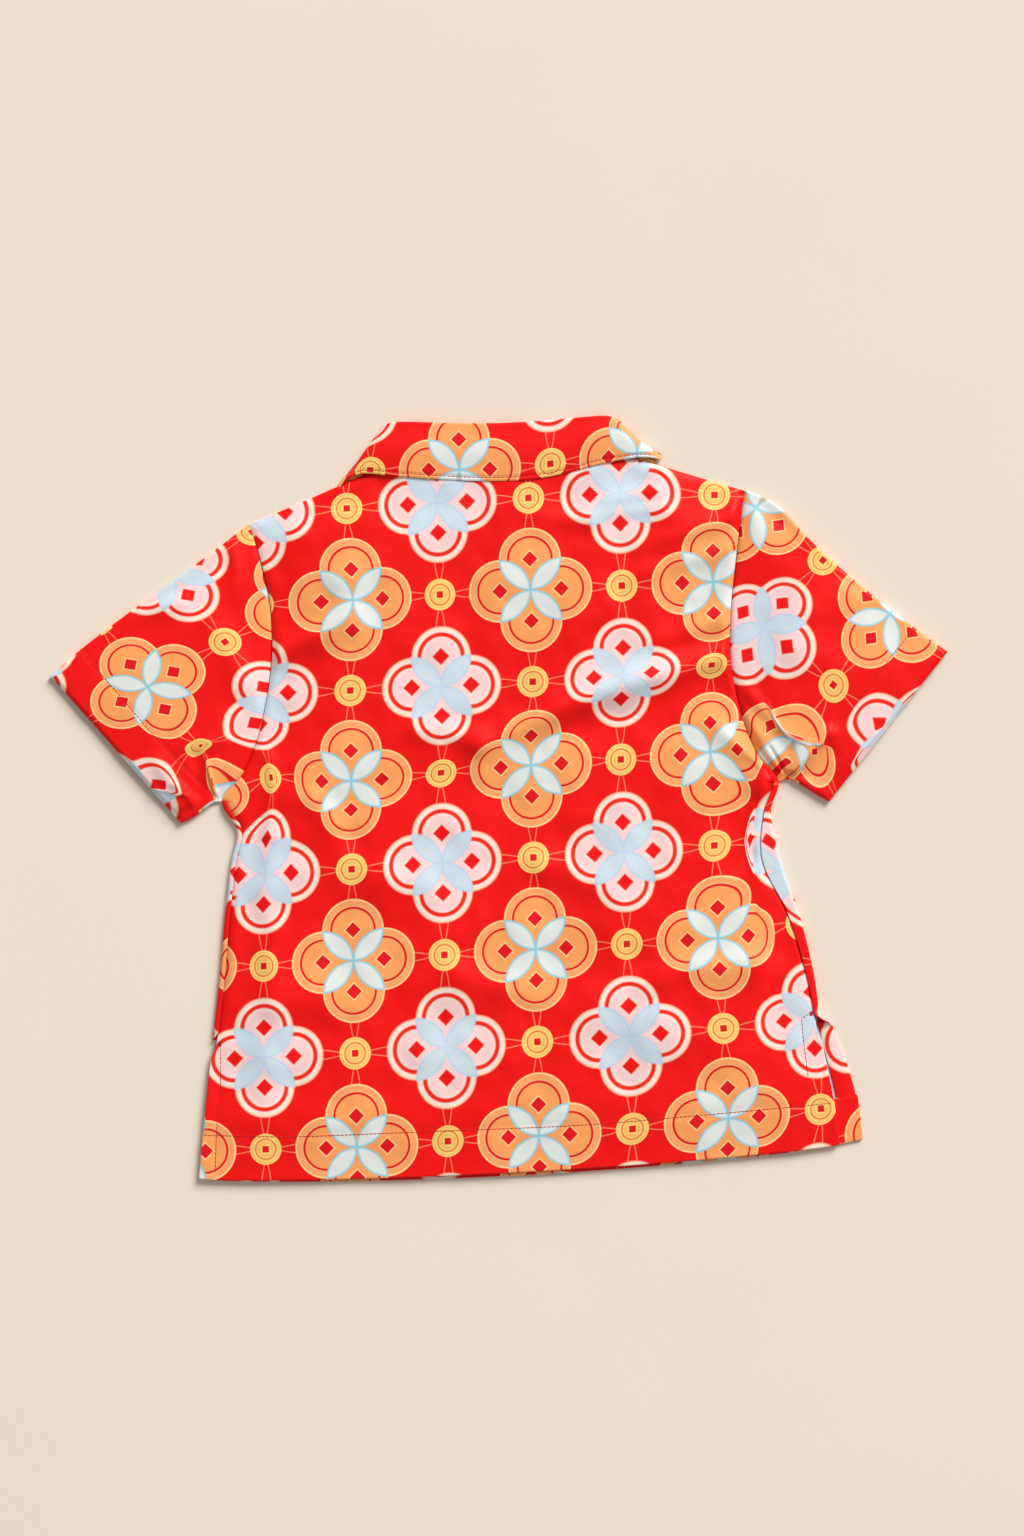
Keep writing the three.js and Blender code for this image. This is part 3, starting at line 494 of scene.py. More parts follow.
def add_node(tree, kind, feeds, **settings):
    """A shader node with its settings. Feeds says what each input gets: a socket is linked to it,
    and anything else is its value."""
    node = tree.nodes.new("ShaderNode" + kind)
    for setting, value in settings.items():
        setattr(node, setting, value)
    for place, value in feeds.items():
        if isinstance(value, bpy.types.NodeSocket):
            tree.links.new(value, node.inputs[place])
        else:
            node.inputs[place].default_value = value
    return node


def sums(tree):
    """A short way to write maths nodes: calc(operation, value or socket, ...) gives the result."""
    def calc(operation, *values, clamp=False):
        feeds = dict(enumerate(values))
        return add_node(tree, "Math", feeds, operation=operation, use_clamp=clamp).outputs[0]
    return calc


def paint(tree, under, colour, mask):
    """Colour laid over what is under it where the mask is 1."""
    return add_node(tree, "Mix", {0: mask, 6: under, 7: colour}, data_type="RGBA").outputs[2]


def place_group(name, **results):
    """An empty shader group that takes a Place, in lattice steps, and gives the named results."""
    tree = bpy.data.node_groups.new(name, "ShaderNodeTree")
    tree.interface.new_socket("Place", in_out="INPUT", socket_type="NodeSocketVector")
    for result, kind in results.items():
        tree.interface.new_socket(result, in_out="OUTPUT", socket_type="NodeSocket" + kind)
    entry, leave = tree.nodes.new("NodeGroupInput"), tree.nodes.new("NodeGroupOutput")
    return tree, entry.outputs["Place"], leave


def coin_print():
    """Shader group of the print: Place gives Color."""
    tree, place, leave = place_group("coin print", Color="Color")
    split = add_node(tree, "SeparateXYZ", {0: place})
    calc = sums(tree)
    folded = [calc("ABSOLUTE", calc("WRAP", axis, 1.0, -1.0)) for axis in split.outputs[:2]]
    x, y = calc("MAXIMUM", *folded), calc("MINIMUM", *folded)

    def away(from_x, from_y):
        dx, dy = calc("SUBTRACT", x, from_x), calc("SUBTRACT", y, from_y)
        return calc("SQRT", calc("ADD", calc("MULTIPLY", dx, dx), calc("MULTIPLY", dy, dy)))

    def within(distance, reach, soft):
        return calc("ADD", calc("DIVIDE", calc("SUBTRACT", reach, distance), soft), 0.5, clamp=True)

    def band(distance, middle, half, soft):
        return within(calc("ABSOLUTE", calc("SUBTRACT", distance, middle)), half, soft)

    def both(*masks):
        product = masks[0]
        for mask in masks[1:]:
            product = calc("MULTIPLY", product, mask)
        return product

    def diamond(from_x, from_y):
        return calc("ADD", calc("ABSOLUTE", calc("SUBTRACT", x, from_x)),
                    calc("ABSOLUTE", calc("SUBTRACT", y, from_y)))

    def lay(under, distance, *layers):
        """Inks laid one over another round a middle: each an ink, its reach and its softness."""
        for ink, reach, soft in layers:
            under = paint(tree, under, INK[ink], within(distance, reach, soft))
        return under

    colour = INK["ground"]
    # Two threads from each small coin, spreading towards the medallion.
    for run, off in ((calc("SUBTRACT", 1 - SMALL_COIN, x), y),
                     (calc("SUBTRACT", y, SMALL_COIN), calc("SUBTRACT", 1.0, x))):
        share = calc("DIVIDE", run, 1 - SMALL_COIN - 2 * COIN)
        bowed = calc("POWER", calc("MAXIMUM", share, 0.0), 0.7)
        spread = calc("ADD", calc("MULTIPLY", bowed, THREAD_SPREAD), THREAD_START)
        inside = both(within(calc("SUBTRACT", 0.0, share), 0.1, 0.02), within(share, 1.3, 0.02))
        thread = band(calc("SUBTRACT", off, spread), 0.0, THREAD_HALF, 0.007)
        colour = paint(tree, colour, INK["thread"], both(inside, thread))

    small = away(1.0, 0.0)
    square = calc("MAXIMUM", calc("SUBTRACT", 1.0, x), y)
    colour = lay(colour, small, ("small pale", SMALL_COIN, CRISP), ("small coin", 0.157, CRISP),
                 ("small pale", 0.141, CRISP), ("small coin", 0.130, CRISP),
                 ("small line", SMALL_RING + SMALL_RING_HALF, CRISP),
                 ("small pale", SMALL_RING - SMALL_RING_HALF, CRISP), ("small coin", 0.092, CRISP))
    colour = lay(colour, square, ("small pale", SMALL_HOLE + 0.014, CRISP),
                 ("hole", SMALL_HOLE, CRISP))

    coin, next_coin, hole = away(COIN, 0.0), away(0.0, COIN), diamond(COIN, 0.0)
    colour = lay(colour, coin, ("outline", COIN + 0.002, CRISP), ("band", COIN - 0.014, CRISP),
                 ("outline", RING + 0.018, CRISP), ("ring", RING + RING_HALF, CRISP),
                 ("orange", RING - RING_HALF, CRISP))
    colour = lay(colour, away(0.0, 0.0), ("orange", 0.13, CRISP))
    colour = lay(colour, hole, ("outline", HOLE + 0.015, CRISP), ("hole", HOLE, CRISP))
    colour = lay(colour, next_coin, ("petal line", COIN + 0.003, CRISP), ("petal", COIN - 0.014, SOFT))

    coin, next_coin = away(1.0, 1 - PINK_COIN), away(1 - PINK_COIN, 1.0)
    hole = diamond(1.0, 1 - PINK_COIN)
    colour = lay(colour, coin, ("pink edge", PINK_COIN - 0.002, SOFT),
                 ("pink band", PINK_COIN - 0.022, SOFT),
                 ("pink ring", PINK_RING + PINK_RING_HALF, SOFT * 0.7),
                 ("pink band", PINK_RING - PINK_RING_HALF, SOFT * 0.7),
                 ("pink", PINK_RING - 0.045, 0.05))
    colour = lay(colour, away(1.0, 1.0), ("pink", 0.14, SOFT))
    colour = lay(colour, hole, ("pink band", PINK_HOLE + 0.02, BLURRED), ("ground", PINK_HOLE, SOFT))
    colour = lay(colour, next_coin, ("pink vein", PINK_COIN + 0.01, 0.018),
                 ("pink petal", PINK_COIN - 0.006, BLURRED))
    tree.links.new(colour, leave.inputs["Color"])
    return tree


def satin_weave():
    """Shader group of the cloth's own surface: Place gives a Height, with long floats of the satin
    weave and fine crumples, and a Tone, the slight unevenness of its dye."""
    tree, place, leave = place_group("satin weave", Height="Float", Tone="Float")
    calc = sums(tree)

    def noise(stretch, scale, detail):
        spread = add_node(tree, "Mapping", {"Scale": stretch, "Vector": place})
        feeds = {"Scale": scale, "Detail": detail, "Vector": spread.outputs[0]}
        return add_node(tree, "TexNoise", feeds).outputs["Fac"]

    floats = noise((1.0, 6.0, 1.0), 55, 1)
    crumple = noise((1.0, 1.0, 1.0), 4.5, 3)
    tree.links.new(calc("ADD", calc("MULTIPLY", floats, 0.08), crumple), leave.inputs["Height"])
    tree.links.new(calc("ADD", calc("MULTIPLY", noise((1, 1, 1), 2.2, 4), 0.10), 0.95),
                   leave.inputs["Tone"])
    return tree


PRINT_GROUP = coin_print()
WEAVE_GROUP = satin_weave()


def new_material(name, roughness):
    """A material, its node tree and its shader, with one roughness all over."""
    material = bpy.data.materials.new(name)
    material.use_nodes = True
    shader = material.node_tree.nodes["Principled BSDF"]
    shader.inputs["Roughness"].default_value = roughness
    return material, material.node_tree, shader


def cloth_material(name, pale, roughness, bump):
    """Printed satin, seen on its face, or on its wrong side where the print is pale."""
    material, tree, shader = new_material(name, roughness)
    place = add_node(tree, "UVMap", {}, uv_map="cloth").outputs[0]
    ink = add_node(tree, "Group", {}, node_tree=PRINT_GROUP)
    weave = add_node(tree, "Group", {}, node_tree=WEAVE_GROUP)
    for group in (ink, weave):
        tree.links.new(place, group.inputs["Place"])
    colour = paint(tree, ink.outputs["Color"], linear(206, 212, 222), pale)
    toned = add_node(tree, "VectorMath", {}, operation="SCALE")
    tree.links.new(colour, toned.inputs[0])
    tree.links.new(weave.outputs["Tone"], toned.inputs["Scale"])
    tree.links.new(toned.outputs[0], shader.inputs["Base Color"])
    relief = add_node(tree, "Bump", {"Strength": bump, "Distance": 0.6 * MM,
                                     "Height": weave.outputs["Height"]})
    tree.links.new(relief.outputs[0], shader.inputs["Normal"])
    shader.inputs["Specular IOR Level"].default_value = 0.2
    shader.inputs["Sheen Weight"].default_value = 0.02
    shader.inputs["Sheen Roughness"].default_value = 0.4
    return material


PRINTED = cloth_material("printed satin", 0.0, 0.52, 0.6)
WRONG_SIDE = cloth_material("printed satin wrong side", 0.86, 0.8, 0.4)
CLOTH_FACES = [PRINTED, WRONG_SIDE]

BODY_PRINT = {"centre": (19.8, 17.0), "across": (52.78, 3.16), "up": (-0.9, 52.48)}
LEFT_WRAP = 2.6  # the left front only just turns onto the back
VENT_SET = 0.6  # how far inside the outline the back's edge lies at a vent
VENT_UNROLL = 9  # length over which the vents open
LONG_RIPPLE, SHORT_RIPPLE = (120, 1.2), (44, 0.75)  # longest wave and rise
HEM_STITCH = [(-171, -195.5), (-118, -196.2), (-43, -193.4), (41, -190), (110, -184.5), (193, -177)]
VENT_BAR_RIGHT = [(182.8, -124.2), (180.2, -125.4), (175.8, -127.8)]
VENT_STITCH_RIGHT = [(175.8, -127.8), (177.4, -145), (179.8, -163)]
VENT_BAR_LEFT = [(-163.4, -142), (-162.6, -142.2), (-161.4, -142.6)]
VENT_STITCH_LEFT = [(-161.4, -142.6), (-161.4, -168), (-163.4, -192), (-164.4, -218)]
GROOVE, GROOVE_HALF = 0.4, 1.3  # depth and half width of the groove that stitching presses in
LOWEST = 1.3  # the back's upper face stays above the table by this much
BACK_ROWS, BACK_COLS = 215, 200


def seam_dip(distance):
    """The cloth dips into a seam: the sum of a narrow bell and a wide, shallow one."""
    return -0.9 * bell(distance, 1.5) - 0.3 * bell(distance, 4)


def stitch_groove(plan, *lines):
    """Stitching draws the layers together: a soft bell down to GROOVE along each line."""
    return sum(-GROOVE * bell(beside(plan, line)[1], GROOVE_HALF) for line in lines)


def back():
    """The back's grid: columns at even shares between its side edges, rows closer together near
    the hem, at the heights of back_height with the creases, seams and stitching added."""
    up = shares(BACK_ROWS)[:, None] ** 1.08
    share = shares(BACK_COLS)[None, :]
    up = np.broadcast_to(up, (BACK_ROWS, BACK_COLS))
    width = width_at(up)
    wrap = curve(LEVELS["wrap"][:, None], up)[..., 0]

    def inset(side, wrapped):
        opened = ease(below_vent(side, up) - VENT_UNROLL, VENT_UNROLL)
        return (np.where(up > UNDERARM, SEAM / 2, mix(wrapped, VENT_SET, opened) + SEAM)) / width

    across = mix(inset(LEFT_SIDE, LEFT_WRAP), 1 - inset(RIGHT_SIDE, wrap), share)
    plan = body_plan(across, up, back_top)
    from_edge = np.minimum(share, 1 - share) * width
    from_top = body_plan(across, np.ones_like(up), back_top)[..., 1] - plan[..., 1]
    from_hem = plan[..., 1] - body_plan(across, np.zeros_like(up), back_top)[..., 1]
    height = back_height(across, up, plan)
    inside = ease(from_edge, 5) * ease(from_top, 12) * mix(0.35, 1, ease(from_hem, 30))
    folds, drawn = creases(plan, BACK_CREASES)
    height += (folds + ripple(plan, 3, *LONG_RIPPLE) + ripple(plan, 4, *SHORT_RIPPLE)) * inside
    height += seam_dip(from_edge) * (1 - ease(below_vent(LEFT_SIDE, up), 8))
    height += stitch_groove(plan, HEM_STITCH, VENT_BAR_LEFT, VENT_STITCH_LEFT, VENT_BAR_RIGHT,
                            VENT_STITCH_RIGHT)
    height += HEM_STEP * (1 - past_hem(from_hem, HEM_DEPTH))
    on_shoulder = 1 - ease(NECK_HALF + 8 - np.abs(plan[..., 0]), 8)
    height -= 1.2 * bell(from_top, 1.6) * on_shoulder
    outer = raised(plan, np.maximum(height, LOWEST))
    thick = mix(TURNED, CLOTH, past_hem(from_hem, HEM_DEPTH))
    turned = (from_hem < HEM_DEPTH)[:-1, :-1]
    coords = print_place(plan, **BODY_PRINT, drawn=drawn, pulls=BACK_PULLS)
    return shell(outer, coords, thick, turned)


def lay_out(name, parts, node):
    """A laid piece of cloth in place of its solid: its parts made into one mesh in the printed and
    wrong-side satin, hung under the root, with the solid hidden."""
    piece = make_mesh(name, parts, CLOTH_FACES)
    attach(piece, "root")
    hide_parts(node)
    return piece


back_piece = lay_out("back", [back()], "back_panel")

# ================================================================ fronts
# Two fronts, lapping over each other at the centre and lying face down on the table. Each one
# rolls up round its side in a soft fold to the side seam on the back. Below the vent the roll
# opens flat, and the right one's turned edge shows past the back's.
FRONT_SCOOP = 55  # depth of the front neckline
OVERLAP = 12  # how far each front passes the centre front
FRONT_HEM_PEEP = 2.0  # how far the front's hem shows below the back's
LEFT_PEEP = -0.6  # below its vent the left front stops just short of the back's edge
BUTTON_THICK = 2.0
TOP_BUTTON, LOW_BUTTONS = 114, -207  # from the top button down, the fronts lie on their buttons
FRONT_ROWS, FRONT_COLS = 150, 70
ROLL_COLS, STRIP_COLS = 12, 10
ROLL = FOLD / 2
ROLL_LENGTH = np.pi * (ROLL - 0.5)
FRONT_PRINT = {"centre": (6.6, 10.2), "across": (52.5, 0), "up": (0, 52.5)}
FRONT_PULLS = np.array([(164, 10, -12, 0, 12)], dtype=PULL)
FACING_SLIP = 3  # how far the print of the turned vent edge stands from that of the front
FACING_SHORT = 3.3  # how far the turned vent edge stops short of the back's edge at the hem
TURN_REACH = 34  # how far in from the side the right front's turned hem is made as its own layer
TURN_SLIP = (-9.2, 0.4)  # how the print steps where the hem is turned
TURN_LEAN = 0.9  # how far the turned hem leans in over its depth
FACING_THICK = 0.5  # cloth of the turned vent edge and of the turned hem's end
FACING_RISE, TURN_RISE = 0.6, 1.25  # how far above the front each of them lies
EDGE_LOW = 1.5  # the front's free edge lies no higher than this where it is turned
# Creases on the face-down side: low ridges that stand up off the table into the shirt.
FRONT_CREASES = np.array([
    ("right breast ridge", 116, 92, 84, 70, 44, 58, 9, 1.2, 0.6, 0, 0, 1),
    ("right armpit ridge", 128, 22, 108, 38, 84, 46, 8, 1.1, 0.4, 0, 0, 1),
    ("right waist ridge", 122, -58, 96, -76, 58, -72, 10, 0.9, 1.1, 0, 0, 1),
    ("right hem swell", 52, -150, 84, -142, 118, -152, 12, 0.8, 1.0, 0, 0, 1),
    ("left armhole ridge", -116, 76, -88, 86, -50, 82, 8, 1.2, 0.5, 0, 0, 1),
    ("left rib ridge", -122, 8, -100, -6, -74, -8, 7, 1.0, 0.5, 0, 0, 1),
    ("left waist swell", -118, -84, -86, -94, -46, -112, 11, 0.8, 1.1, 0, 0, 1),
    ("left hem ridge", -108, -164, -84, -152, -62, -154, 8, 0.7, 0.9, 0, 0, 1),
], dtype=CREASE)


def front_top(across):
    """Upper edge of the fronts: shoulders and a deep neckline, level where they overlap."""
    return shoulder_rise(across) - FRONT_SCOOP * neck_hollow(across, OVERLAP / NECK_HALF)


def front_base(outward, plan, off):
    """Lower face of a front above the table. It lifts by one layer over the collar's leaves, and
    near the centre front over the buttons, and the right one once more over the left one."""
    x, y = plan[..., 0], plan[..., 1]
    leaves = LAYER * near_leaves(x) * ease(y - 82, 12)
    buttons = mix(BUTTON_THICK + SEAM, LAYER, ease(y - TOP_BUTTON - 10, 10))
    buttons = buttons * ease(y - LOW_BUTTONS, 26)
    if outward < 0:
        return np.maximum(leaves, buttons * (1 - ease(off - OVERLAP - 4, OVERLAP + 2)))
    return np.maximum(leaves, (buttons + LAYER) * (1 - ease(off - 2 * OVERLAP - 2, OVERLAP + 2)))


def front(outward):
    """A front's grid, from its centre edge to the side: flat on the table, then half a round of
    roll (out = r sin a, rise = r - r cos a), then the strip that lies on the back."""
    side, neck = (LEFT_SIDE, NECK_LEFT) if outward < 0 else (RIGHT_SIDE, NECK_RIGHT)
    up = shares(FRONT_ROWS)[:, None]
    width = width_at(up)
    wrap = curve(LEVELS["wrap"][:, None], up)[..., 0]
    peep = curve(LEVELS["peep"][:, None], up)[..., 0]
    if outward < 0:
        wrap, peep = np.full_like(wrap, LEFT_WRAP), np.full_like(peep, LEFT_PEEP)
    rolled = up <= UNDERARM
    opened = ease(below_vent(side, up), VENT_UNROLL)
    strip = np.maximum(1.2, peep + ROLL - ROLL_LENGTH)
    inset = np.where(rolled, mix(ROLL, ROLL_LENGTH + strip - peep, opened), SEAM / 2 + 2.2)
    strip = np.where(rolled, mix(np.maximum(0.8, wrap - ROLL), strip, opened), 0.6)
    bend = np.where(rolled, np.pi * (1 - opened), 0) + 1e-4
    arc = np.where(rolled, ROLL_LENGTH, 1.6)

    edge = 0 if outward < 0 else 1
    start, end = 0.5 - outward * OVERLAP / width, edge - outward * inset / width
    half = FRONT_COLS // 2
    to_neck = shares(half)[None, :]
    to_side = shares(FRONT_COLS - half + 1)[None, 1:]
    across = columns(mix(start, neck, to_neck), mix(neck, end, to_side))
    level_up = np.broadcast_to(up, across.shape)
    plan = body_plan(across, level_up, front_top, FRONT_HEM_PEEP)
    lift = front_base(outward, plan, (across - 0.5) * outward * width)
    lift = lift + creases(plan, FRONT_CREASES)[0]
    flat = raised(plan, lift)

    foot = flat[:, -1:]
    away = unit(flat[:, -1:] - flat[:, -3:-2]) * [1, 1, 0]
    radius = arc / bend
    angle = bend * shares(ROLL_COLS + 1)[None, 1:]
    grow = np.where(bend < 0.05, 0, 0.5)
    out = (radius + grow) * np.sin(angle)
    rise = (radius + grow) * (1 - np.cos(angle))
    share = shares(STRIP_COLS + 1)[None, 1:]
    out = columns(out, out[:, -1:] + np.cos(bend) * strip * share)
    rise = columns(rise, rise[:, -1:] + np.sin(bend) * strip * share)
    turn = foot + away * out[..., None] + np.array([0, 0, 1]) * rise[..., None]
    outer = columns(flat, turn)

    cloth_x = outward * (gone(outer, 1) - OVERLAP)
    cloth = np.stack([cloth_x, outer[..., 1]], axis=-1)
    from_hem = outer[..., 1] - outer[:1, :, 1]
    in_flat = np.concatenate([np.ones(across.shape[1]), np.zeros(ROLL_COLS + STRIP_COLS)])[None, :]
    hemmed = (1 - past_hem(from_hem, HEM_DEPTH)) * in_flat
    folded_back = cloth * [1, -1] + [0, 2] * outer[:1, :, 1:2]
    opening = (opened > 0.01) & (opened < 0.98) & (in_flat < 1)
    plain_ground = 0.5 + (cloth - cloth[np.argmax(opening.any(axis=1)), -1]) / 200
    coords = print_place(cloth, **FRONT_PRINT, pulls=FRONT_PULLS)
    inner_coords = np.where(opening[..., None], plain_ground, print_place(folded_back, **FRONT_PRINT))
    printed_inside = (hemmed > 0.5) | opening
    parts = []
    if outward > 0:
        parts += turned_edges(outer, cloth, foot, opened, peep)
        outer, coords, inner_coords, hemmed, printed_inside = (
            grid[:, ::-1] for grid in (outer, coords, inner_coords, hemmed, printed_inside))
    thick = mix(CLOTH, TURNED, hemmed)
    parts.append(shell(outer, coords, thick, printed_inside[:-1, :-1], inner_coords))
    return parts


def turned_edges(outer, cloth, foot, opened, peep):
    """The right front's vent facing and the end of its turned hem, two strips on its inner side,
    print up. Each goes straight in from the edge, the facing almost as far as the back's edge,
    and the hem lies on the facing."""
    rows = np.flatnonzero(opened[:, 0] > 0.6)[::-1]
    edge = outer[rows, -1].copy()
    edge[:, 2] = np.minimum(edge[:, 2], EDGE_LOW)
    inwards = unit(foot[rows, 0] - edge) * [1, 1, 0]
    down = np.linspace(0, 1, len(rows))
    share = shares(12)
    reach = (peep[rows] + VENT_SET + SEAM - mix(-1.5, FACING_SHORT, down**0.5)[:, None]) * share
    facing = edge[:, None] + inwards[:, None] * reach[..., None]
    facing[..., 2] += CLOTH + FACING_RISE + 0.5 * np.sin(np.pi * share)
    line = unit(np.gradient(cloth[rows, -1], axis=0))
    square = np.stack([-line[:, 1], line[:, 0]], axis=-1) * np.sign(-line[:, 1:])
    slipped = reach - FACING_SLIP
    place = cloth[rows, -1][:, None] - slipped[..., None] * [1, 0]
    place = place + 2 * (slipped * square[:, :1])[..., None] * square[:, None]

    above_hem = edge[:, 1] - outer[0, -1, 1]
    depth = np.linspace(0, HEM_DEPTH, 14)
    side = np.stack([np.interp(depth, above_hem[::-1], edge[::-1, axis]) for axis in (0, 1, 2)],
                    axis=-1)
    along = (outer[0, -1] - outer[0, -12]) * [1, 1, 0]
    into = np.linspace(0, TURN_REACH, 24)
    hem = side[:, None] - unit(along) * (into - TURN_LEAN * depth[:, None] / HEM_DEPTH)[..., None]
    hem[..., 2] += CLOTH + TURN_RISE
    fold = np.stack([cloth[0, -1, 0] - into + 0 * depth[:, None],
                     outer[0, -1, 1] - depth[:, None] + 0 * into], axis=-1)
    return [shell(facing[::-1, ::-1], print_place(place, **FRONT_PRINT)[::-1, ::-1], FACING_THICK),
            shell(hem[:, ::-1], print_place(fold + TURN_SLIP, **FRONT_PRINT)[:, ::-1], FACING_THICK)]


for front_side, outward in (("left", -1), ("right", 1)):
    lay_out(f"front.{front_side}", front(outward), f"front_{front_side}")

# ================================================================ sleeves
# Each sleeve is one piece, sewn along the arm's underside and hemmed at the cuff. It lies as a
# flattened tube: lower layer on the table, upper layer a low crown, a soft fold along each edge.
SLEEVE = [("share", float), ("top_x", float), ("top_y", float), ("low_x", float), ("low_y", float)]
SLEEVE_LEFT = np.array([
    (0.0, -144.7, 158.6, -160.5, -2),
    (0.2, -170.8, 138.6, -165.5, -2.5),
    (0.5, -203, 115.7, -171.5, -7),
    (0.8, -238, 89.7, -178.5, -12),
    (1.0, -260, 71, -184, -14.5),
], dtype=SLEEVE)
SLEEVE_RIGHT = np.array([
    (0.0, 142.5, 178.4, 162.5, 10),
    (0.15, 161, 170, 168.5, 11.3),
    (0.35, 181, 149, 174.5, 8.5),
    (0.6, 209, 124, 180.5, 4.7),
    (0.8, 236, 102.8, 186, 1),
    (1.0, 260.2, 85, 191.5, -2),
], dtype=SLEEVE)
LEFT_SLEEVE_PRINT = {"centre": (-203.4, 64.4), "across": (44.95, 25.75), "up": (-29.5, 38.6)}
LEFT_SLEEVE_PULLS = np.array([
    (-184, 124, -1.8, 1.6, 30),
    (-139, 54, 2.6, 0.4, 26),
    (-195, 7, 6.5, -0.5, 17),
    (-172, 31, 2, 3, 12),
    (-162, 9, -11, 11, 16),
], dtype=PULL)
RIGHT_SLEEVE_PRINT = {"centre": (226.9, 106.8), "across": (38.7, -30.8), "up": (32.7, 42.3)}
RIGHT_SLEEVE_PULLS = np.array([
    (160, 106, -1.8, 4.4, 25),
    (194, 65, -1.2, 2, 18),
    (176, 10, 14, 14, 20),
    (162, 44, -1, 5, 18),
    (152, 40, 3, 5, 12),
    (166, 20, 6, 7, 11),
    (142, 38, 7, -1, 10),
], dtype=PULL)
LEFT_SLEEVE_CREASES = np.array([
    ("lower tuck", -169.5, 22, -167, 13, -164, 2, 1.2, 1.2, 1.8, 4, 26, 15),
    ("coin pinch", -184, 30, -172, 31, -160, 33, 4.5, 0.4, 0.8, 7, 7, 11),
    ("pink coin pleat", -200, 5, -191, 3.5, -180, 1, 0.8, 0.6, 0.8, 5, 6, 12),
    ("lower tuck hollow", -176, 24, -174, 14, -173, 4, 4, -1.4, -0.8, 0, 0, 1),
    ("cuff corner", -186, 7, -180, 1, -176, -6, 3, 2.4, 2.0, 5, 7, 16),
    ("cuff end fold", -198, 22, -190, 8, -184, -4, 5, 1.6, 2.4, 2, 4, 14),
    ("crown fold", -156, 146, -153, 136, -151, 118, 5, 2.4, 0.6, 0, 0, 1),
    ("middle fold", -166, 100, -156, 88, -148, 66, 9, 1.2, 2.4, 0, 0, 1),
    ("upper edge fold", -226, 106, -206, 110, -184, 112, 7, 1.0, 1.6, 0, 0, 1),
    ("armhole pull", -138, 52, -150, 42, -164, 34, 8, 1.6, 0.6, 0, 0, 1),
    ("shoulder dip", -158, 144, -170, 130, -184, 120, 5, -1.0, -0.4, 0, 0, 1),
], dtype=CREASE)
RIGHT_SLEEVE_CREASES = np.array([
    ("tuck", 192, 38, 180, 26, 167, 12, 3.5, 3.0, 2.6, 9, 9, 26),
    ("tuck hollow", 192, 26, 184, 16, 178, 9, 5, -1.2, -0.8, 0, 0, 1),
    ("armpit fold", 139, 46, 150, 36, 162, 22, 6, 3.0, 2.2, 2, 4, 16),
    ("armpit nip", 146, 60, 158, 46, 172, 34, 4, 1.6, 1.2, 1, 3, 12),
    ("armpit pleat", 156, 54, 168, 36, 188, 31, 0.8, 0.9, 1.2, 10, 12, 13),
    ("crown fold", 147, 162, 154, 148, 161, 130, 8, 2.0, 0.3, 0, 0, 1),
    ("middle fold", 204, 122, 192, 110, 176, 104, 9, 2.4, 1.0, 0, 0, 1),
    ("lower fold", 172, 86, 190, 78, 212, 62, 12, 1.8, 0.6, 0, 0, 1),
    ("shoulder dip", 154, 168, 168, 158, 182, 146, 5, -1.0, -0.4, 0, 0, 1),
    ("armpit line", 150, 30, 156, 22, 163, 14, 1.1, -1.3, -1.8, 2, 3, 6),
    ("armpit line", 157, 30, 162, 22, 166, 14, 1.1, -0.9, -1.5, 1, 2, 6),
    ("cuff roll", 254.3, 77.5, 231, 50.5, 206, 22, 0.9, 0.5, 0.5, 2, 7, 12),
], dtype=CREASE)
SLEEVE_ROWS, SLEEVE_COLS, TURN_COLS = 110, 84, 9
CROWN = 1.7  # how far the middle of the upper layer stands above its edges
CUFF_DROP = 1.2  # how far the cuff's fold sinks towards the lower layer
UNDER_RIPPLE = (46, 2.4)  # longest wave and rise of the lower layer, which stands on its troughs
CUFF_STITCH = 24.5  # from the cuff's fold up to its stitching


